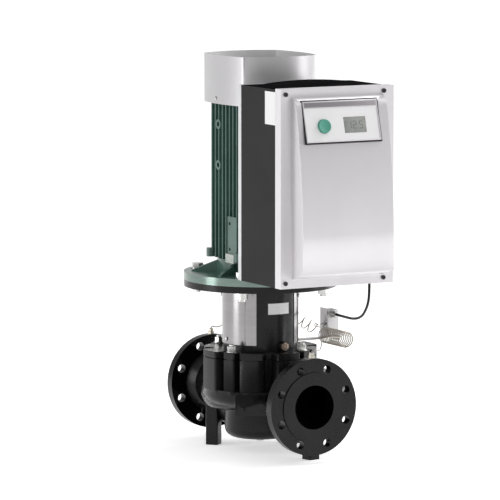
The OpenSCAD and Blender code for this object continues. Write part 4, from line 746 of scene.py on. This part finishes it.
def display_digits(reading):
    """A plain reading in seven-bar digits, on the display under its window."""
    bm = bmesh.new()
    u = DISPLAY_U + DIGIT_START
    v = DISPLAY_V + (DISPLAY_H - 2 * DIGIT_CELL) / 2
    foot = DISPLAY_TOP + DIGIT_LIFT
    for sign in reading:
        for low, high in digit_bars(sign):
            panel_plate(bm, (u + low[0] * DIGIT_CELL, v + low[1] * DIGIT_CELL, foot),
                        (u + high[0] * DIGIT_CELL, v + high[1] * DIGIT_CELL, foot + DIGIT_T))
        u += DIGIT_CELL * (POINT_STEP if sign == "." else DIGIT_STEP)
    panel_place(bm)
    piece = mesh_piece("display_digits", bm)
    settle(piece, NODE_BODY["display_module"], "display_dark")
    piece.data.materials[0] = FINISHES["digit_dark"]


def turned_knob(height):
    """A round knob turned from its profile, with a shallow dish and a soft shoulder."""
    radius = KNOB_D / 2
    top = height / MM
    low = DISPLAY_TOP
    bore = ENCODER_R + ENCODER_GAP
    profile = [
        (0, top - 0.7), (radius - 3.4, top - 0.7), (radius - 2.6, top - 0.15),
        (radius - 1.6, top), (radius - 0.8, top - 0.15), (radius - 0.2, top - 0.8),
        (radius, top - 1.8), (radius, low), (bore, low), (bore, top - KNOB_ROOF),
        (0, top - KNOB_ROOF)]
    bm = bmesh.new()
    verts = [bm.verts.new((r, 0, w)) for r, w in profile]
    edges = [bm.edges.new(pair) for pair in zip(verts, verts[1:])]
    bmesh.ops.spin(bm, geom=verts + edges, cent=(0, 0, 0), axis=(0, 0, 1),
                   angle=math.tau, steps=72, use_merge=True)
    bmesh.ops.remove_doubles(bm, verts=bm.verts, dist=1e-4)
    bmesh.ops.translate(bm, vec=(KNOB_U, KNOB_V, 0), verts=bm.verts)
    panel_place(bm)
    piece = mesh_piece("control_knob_turned", bm)
    smooth_by_angle(piece, 45)
    settle(piece, NODE_BODY["control_knob"], "knob_green", "control_knob")


def short_shaft(top):
    """The encoder's shaft, ended inside the low knob and clear of it when pushed."""
    bm = welded("encoder_shaft")
    bmesh.ops.transform(bm, matrix=PANEL.inverted(), verts=bm.verts)
    end = max(vert.co.z for vert in bm.verts)
    for vert in bm.verts:
        if vert.co.z > end - ENCODER_END * MM:
            vert.co.z += top - end
    bmesh.ops.transform(bm, matrix=PANEL, verts=bm.verts)
    piece = mesh_piece("encoder_shaft_short", bm)
    smooth_by_angle(piece, CAD_SMOOTH)
    settle(piece, NODE_BODY["encoder_shaft"], "shaft_steel", "encoder_shaft")


def split_glands(width):
    """The steel gland at the sensor and the black one under the box."""
    halves = {"sensor_gland": (True, "bolt_zinc"), "box_gland": (False, "gland_black")}
    for name, (at_sensor, slot) in halves.items():
        bm = welded("cable_glands")
        other = [v for v in bm.verts if (v.co.x > GLAND_SPLIT_X) != at_sensor]
        bmesh.ops.delete(bm, geom=other, context="VERTS")
        piece = mesh_piece(name, bm)
        smooth_by_angle(piece, CAD_SMOOTH)
        bevel_edges(piece, width)
        settle(piece, NODE_BODY["cable_glands"], slot,
               *(["cable_glands"] if at_sensor else []))


class PUMP_OT_finishes(Operator):
    """Builds the pump's finishes"""
    bl_idname = "pump.finishes"
    bl_label = "Finishes"

    def execute(self, context):
        build_finishes(context.scene.pump_finish)
        for node in frame["nodes"]:
            keep_node(node)
        return {"FINISHED"}


class PUMP_OT_castings(Operator):
    """Rounds the cast casing, the lantern, the motor's housing and its shields"""
    bl_idname = "pump.castings"
    bl_label = "Castings"

    def execute(self, context):
        width = context.scene.pump_shape.cast_edge
        casing = rounded_copy("volute_casing", width)
        # Painted shade: the faces inside the ports get a black with no gloss
        paint_where(casing, "bore_black", inside_port)
        rounded_copy("lantern", width * 0.5)
        shield = rounded_copy("drive_end_shield", width * 0.6)
        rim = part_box("drive_end_shield")[1][0] - FLANGE_RIM
        paint_where(shield, "flange_edge_green",
                    lambda face: abs(face.normal.z) < 0.1 and face.center.xy.length > rim)
        rounded_copy("motor_housing", width * 0.3)
        rounded_copy("casing_cover", 0)
        rounded_copy("rear_end_shield", 0)
        return {"FINISHED"}


class PUMP_OT_fasteners(Operator):
    """Rounds bolts, plugs and screws"""
    bl_idname = "pump.fasteners"
    bl_label = "Fasteners"

    def execute(self, context):
        width = context.scene.pump_shape.sheet_edge
        for node in ("casing_bolts", "flange_bolts", "vent_plug", "drain_plug",
                     "guard_screws", "cowl_screws", "tap_fittings"):
            rounded_copy(node, width)
        return {"FINISHED"}


class PUMP_OT_sheets(Operator):
    """Rounds the cowl, its grille, the guards and the bracket"""
    bl_idname = "pump.sheets"
    bl_label = "Sheet metal"

    def execute(self, context):
        width = context.scene.pump_shape.sheet_edge
        for node in ("cowl_grille", "guard_left", "guard_right", "sensor_bracket"):
            rounded_copy(node, width * 0.6)
        cowl = rounded_copy("fan_cowl", width * 0.6)
        # Painted light: the cowl's inner faces get a lighter copy of its metal
        paint_where(cowl, "cowl_inside", faces_the_motor)
        return {"FINISHED"}


class PUMP_OT_box(Operator):
    """Rounds the electronics box and the moulded hood of its cover"""
    bl_idname = "pump.box"
    bl_label = "Electronics box"

    def execute(self, context):
        shape = context.scene.pump_shape
        housing = rounded_copy("electronics_housing", shape.box_edge, 3)
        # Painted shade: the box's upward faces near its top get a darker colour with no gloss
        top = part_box("electronics_housing")[1][2] - BOX_SHADED_TOP
        paint_where(housing, "box_top",
                    lambda face: face.center.z > top and face.normal.z > 0.2)
        round_cover(shape)
        rounded_copy("heat_sink", shape.sheet_edge)
        rounded_copy("module_adapter", shape.box_edge)
        rounded_copy("cable_entry_cover", shape.sheet_edge * 1.5)
        screws = rounded_copy("cover_screws", shape.sheet_edge * 0.6)
        screws.data.materials[0] = FINISHES["cover_screw"]
        return {"FINISHED"}


class PUMP_OT_panel(Operator):
    """Sets the panel in its dark seal, painted shade for its gap, with its head strip, display
    and round knob
    """
    bl_idname = "pump.panel"
    bl_label = "Control panel"

    def execute(self, context):
        shape = context.scene.pump_shape
        slim_frame(shape.panel_gap)
        panel_seal(shape.panel_gap)
        head_strip(shape.panel_gap)
        rounded_copy("panel_face", 0.0002)
        display_window()
        display_digits("12.5")
        turned_knob(shape.knob_height)
        short_shaft(shape.knob_height - ENCODER_BELOW * MM)
        return {"FINISHED"}


class PUMP_OT_sensor(Operator):
    """Rounds the pressure sensor, its two glands, the lead and the tubes"""
    bl_idname = "pump.sensor"
    bl_label = "Pressure sensor"

    def execute(self, context):
        width = context.scene.pump_shape.sheet_edge
        sensor = rounded_copy("pressure_sensor", width * 3, 3)
        # Painted light and shade: faces looking forward get the lighter copy, the sides keep the
        # dark metal
        paint_where(sensor, "sensor_front", looks_forward)
        split_glands(width)
        for node in ("sensor_lead", "discharge_capillary", "suction_capillary"):
            rounded_copy(node, 0, smooth=70)
        return {"FINISHED"}


class PUMP_OT_stage(Operator):
    """Sets up the floor, the softboxes, the room light and the camera"""
    bl_idname = "pump.stage"
    bl_label = "Studio"

    def execute(self, context):
        studio = context.scene.pump_studio
        build_floor()
        build_lights(studio)
        build_room(studio)
        build_camera(context.scene)
        context.scene.view_settings.view_transform = "Standard"
        return {"FINISHED"}


# Floor: its radius, how far it lies under the feet, and the lift where it is seen
FLOOR_R = 30.0
FLOOR_DROP = 0.0002
FLOOR_LIFT = 0.45

# Softboxes: the setting of their power, place, target and size
SOFTBOXES = {
    "key": ((2.9, -1.6, 1.1), (0, -0.1, 0.5), (1.0, 2.0)),
    "side": ((-2.15, 0.6, 0.78), (0, 0, 0.78), (0.65, 1.4)),
    "strip": ((2.3, 0.4, 0.75), (0, 0, 0.75), (0.5, 1.4)),
    "top": ((1.8, -0.3, 2.5), (0, 0, 0.8), (1.2, 1.0))}

# Brightness of the mirrored walls, by direction in degrees from +X
WALLS = [(-180, 1.0), (-150, 0.4), (-115, 0.45), (-75, 0.35), (-50, 0.5), (-10, 0.85),
         (60, 1.0), (90, 0.75), (120, 0.45), (138, 0.5), (152, 1.0), (180, 1.0)]

# The walls dim upwards to this share at this height of the view's direction
CEILING_SHARE = 0.6
CEILING_AT = 0.4

# The camera that was fitted to the photograph
CAMERA_PLACE = (-4.727, -8.468, 1.576)
CAMERA_TARGET = (-0.0205, 0.0114, 0.4605)
CAMERA_LENS = 307.6


def aim(thing, target):
    """Turns a lamp or a camera towards a point."""
    direction = Vector(target) - thing.location
    thing.rotation_euler = direction.to_track_quat("-Z", "Y").to_euler()


def build_floor():
    """A pale round floor that is white where it is seen and keeps the pump's shadow."""
    bm = bmesh.new()
    bmesh.ops.create_circle(bm, cap_ends=True, segments=96, radius=FLOOR_R)
    bmesh.ops.translate(bm, verts=bm.verts, vec=(0, 0, -FLOOR_DROP))
    floor = mesh_piece("studio_floor", bm)
    if floor.data.polygons[0].normal.z < 0:
        floor.data.flip_normals()
    material = bpy.data.materials.new("studio_floor")
    material.use_nodes = True
    tree = material.node_tree
    shader = tree.nodes["Principled BSDF"]
    shader.inputs["Base Color"].default_value = (0.95, 0.95, 0.95, 1)
    shader.inputs["Roughness"].default_value = 0.9
    shader.inputs["Specular IOR Level"].default_value = 0.1
    rays = tree.nodes.new("ShaderNodeLightPath")
    seen = math_node(tree, "MAXIMUM", rays.outputs["Is Camera Ray"],
                     rays.outputs["Is Transmission Ray"])
    seen = math_node(tree, "MAXIMUM", seen, rays.outputs["Is Glossy Ray"])
    lift = math_node(tree, "MULTIPLY", seen, FLOOR_LIFT)
    shader.inputs["Emission Color"].default_value = (1, 1, 1, 1)
    tree.links.new(lift, shader.inputs["Emission Strength"])
    floor.data.materials.append(material)


def build_lights(studio):
    """The four softboxes, each with the power from its setting."""
    for side, (place, target, size) in SOFTBOXES.items():
        light = bpy.data.lights.new(side + "_softbox", "AREA")
        light.shape = "RECTANGLE"
        light.size, light.size_y = size
        light.energy = getattr(studio, side + "_power")
        lamp = bpy.data.objects.new(side + "_softbox", light)
        bpy.context.scene.collection.objects.link(lamp)
        lamp.location = place
        aim(lamp, target)


def build_room(studio):
    """White where it is seen; mirrored, its walls are brighter and dimmer by turns."""
    world = bpy.data.worlds.new("studio_room")
    bpy.context.scene.world = world
    world.use_nodes = True
    tree = world.node_tree
    background = tree.nodes["Background"]
    background.inputs["Color"].default_value = (1, 1, 1, 1)
    rays = tree.nodes.new("ShaderNodeLightPath")
    place = tree.nodes.new("ShaderNodeTexCoord")
    split = tree.nodes.new("ShaderNodeSeparateXYZ")
    tree.links.new(place.outputs["Generated"], split.inputs["Vector"])
    ceiling = tree.nodes.new("ShaderNodeMapRange")
    ceiling.inputs["From Min"].default_value = 0.0
    ceiling.inputs["From Max"].default_value = CEILING_AT
    ceiling.inputs["To Min"].default_value = 1.0
    ceiling.inputs["To Max"].default_value = CEILING_SHARE
    tree.links.new(split.outputs["Z"], ceiling.inputs["Value"])
    turn = math_node(tree, "ARCTAN2", split.outputs["Y"], split.outputs["X"])
    turn = math_node(tree, "ADD", math_node(tree, "DIVIDE", turn, math.tau), 0.5)
    walls = tree.nodes.new("ShaderNodeValToRGB")
    tree.links.new(turn, walls.inputs["Fac"])
    stops = walls.color_ramp.elements
    for angle, level in WALLS[1:-1]:
        stops.new(0.5 + angle / 360).color = (level, level, level, 1)
    for end in (0, -1):
        level = WALLS[end][1]
        stops[end].color = (level, level, level, 1)
    mirrored = math_node(tree, "MULTIPLY", ceiling.outputs["Result"], walls.outputs["Color"])
    lit = tree.nodes.new("ShaderNodeMix")
    lit.data_type = "FLOAT"
    lit.inputs["A"].default_value = studio.room
    tree.links.new(mirrored, lit.inputs["B"])
    tree.links.new(rays.outputs["Is Glossy Ray"], lit.inputs["Factor"])
    seen = math_node(tree, "MAXIMUM", rays.outputs["Is Camera Ray"],
                     rays.outputs["Is Transmission Ray"])
    strength = tree.nodes.new("ShaderNodeMix")
    strength.data_type = "FLOAT"
    strength.inputs["B"].default_value = 1.0
    tree.links.new(lit.outputs["Result"], strength.inputs["A"])
    tree.links.new(seen, strength.inputs["Factor"])
    tree.links.new(strength.outputs["Result"], background.inputs["Strength"])


def build_camera(scene):
    """The camera that gives the photograph's view."""
    lens = bpy.data.cameras.new("photo_camera")
    lens.lens = CAMERA_LENS
    lens.sensor_width = 36.0
    lens.clip_end = 100.0
    camera = bpy.data.objects.new("photo_camera", lens)
    scene.collection.objects.link(camera)
    camera.location = CAMERA_PLACE
    aim(camera, CAMERA_TARGET)
    scene.camera = camera


OPERATORS = (
    PUMP_OT_finishes, PUMP_OT_castings, PUMP_OT_fasteners, PUMP_OT_sheets,
    PUMP_OT_box, PUMP_OT_panel, PUMP_OT_sensor, PUMP_OT_stage)
SETTINGS = (PumpFinishSettings, PumpShapeSettings, PumpStudioSettings)


class PUMP_PT_sidebar(Panel):
    """Lists the steps that dress the pump, with their sizes and colours"""
    bl_idname = "PUMP_PT_sidebar"
    bl_label = "Pump"
    bl_space_type = "VIEW_3D"
    bl_region_type = "UI"
    bl_category = "Pump"

    def draw(self, context):
        scene = context.scene
        for settings in (scene.pump_finish, scene.pump_shape, scene.pump_studio):
            box = self.layout.box()
            for name in settings.__annotations__:
                box.prop(settings, name)
        for operator in OPERATORS:
            self.layout.operator(operator.bl_idname)


def register():
    for cls in SETTINGS + OPERATORS + (PUMP_PT_sidebar,):
        bpy.utils.register_class(cls)
    bpy.types.Scene.pump_finish = PointerProperty(type=PumpFinishSettings)
    bpy.types.Scene.pump_shape = PointerProperty(type=PumpShapeSettings)
    bpy.types.Scene.pump_studio = PointerProperty(type=PumpStudioSettings)


def unregister():
    del bpy.types.Scene.pump_studio
    del bpy.types.Scene.pump_shape
    del bpy.types.Scene.pump_finish
    for cls in reversed(SETTINGS + OPERATORS + (PUMP_PT_sidebar,)):
        bpy.utils.unregister_class(cls)


def main():
    """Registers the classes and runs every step."""
    register()
    bpy.ops.pump.finishes()
    bpy.ops.pump.castings()
    bpy.ops.pump.fasteners()
    bpy.ops.pump.sheets()
    bpy.ops.pump.box()
    bpy.ops.pump.panel()
    bpy.ops.pump.sensor()
    bpy.ops.pump.stage()


if __name__ == "__main__":
    main()
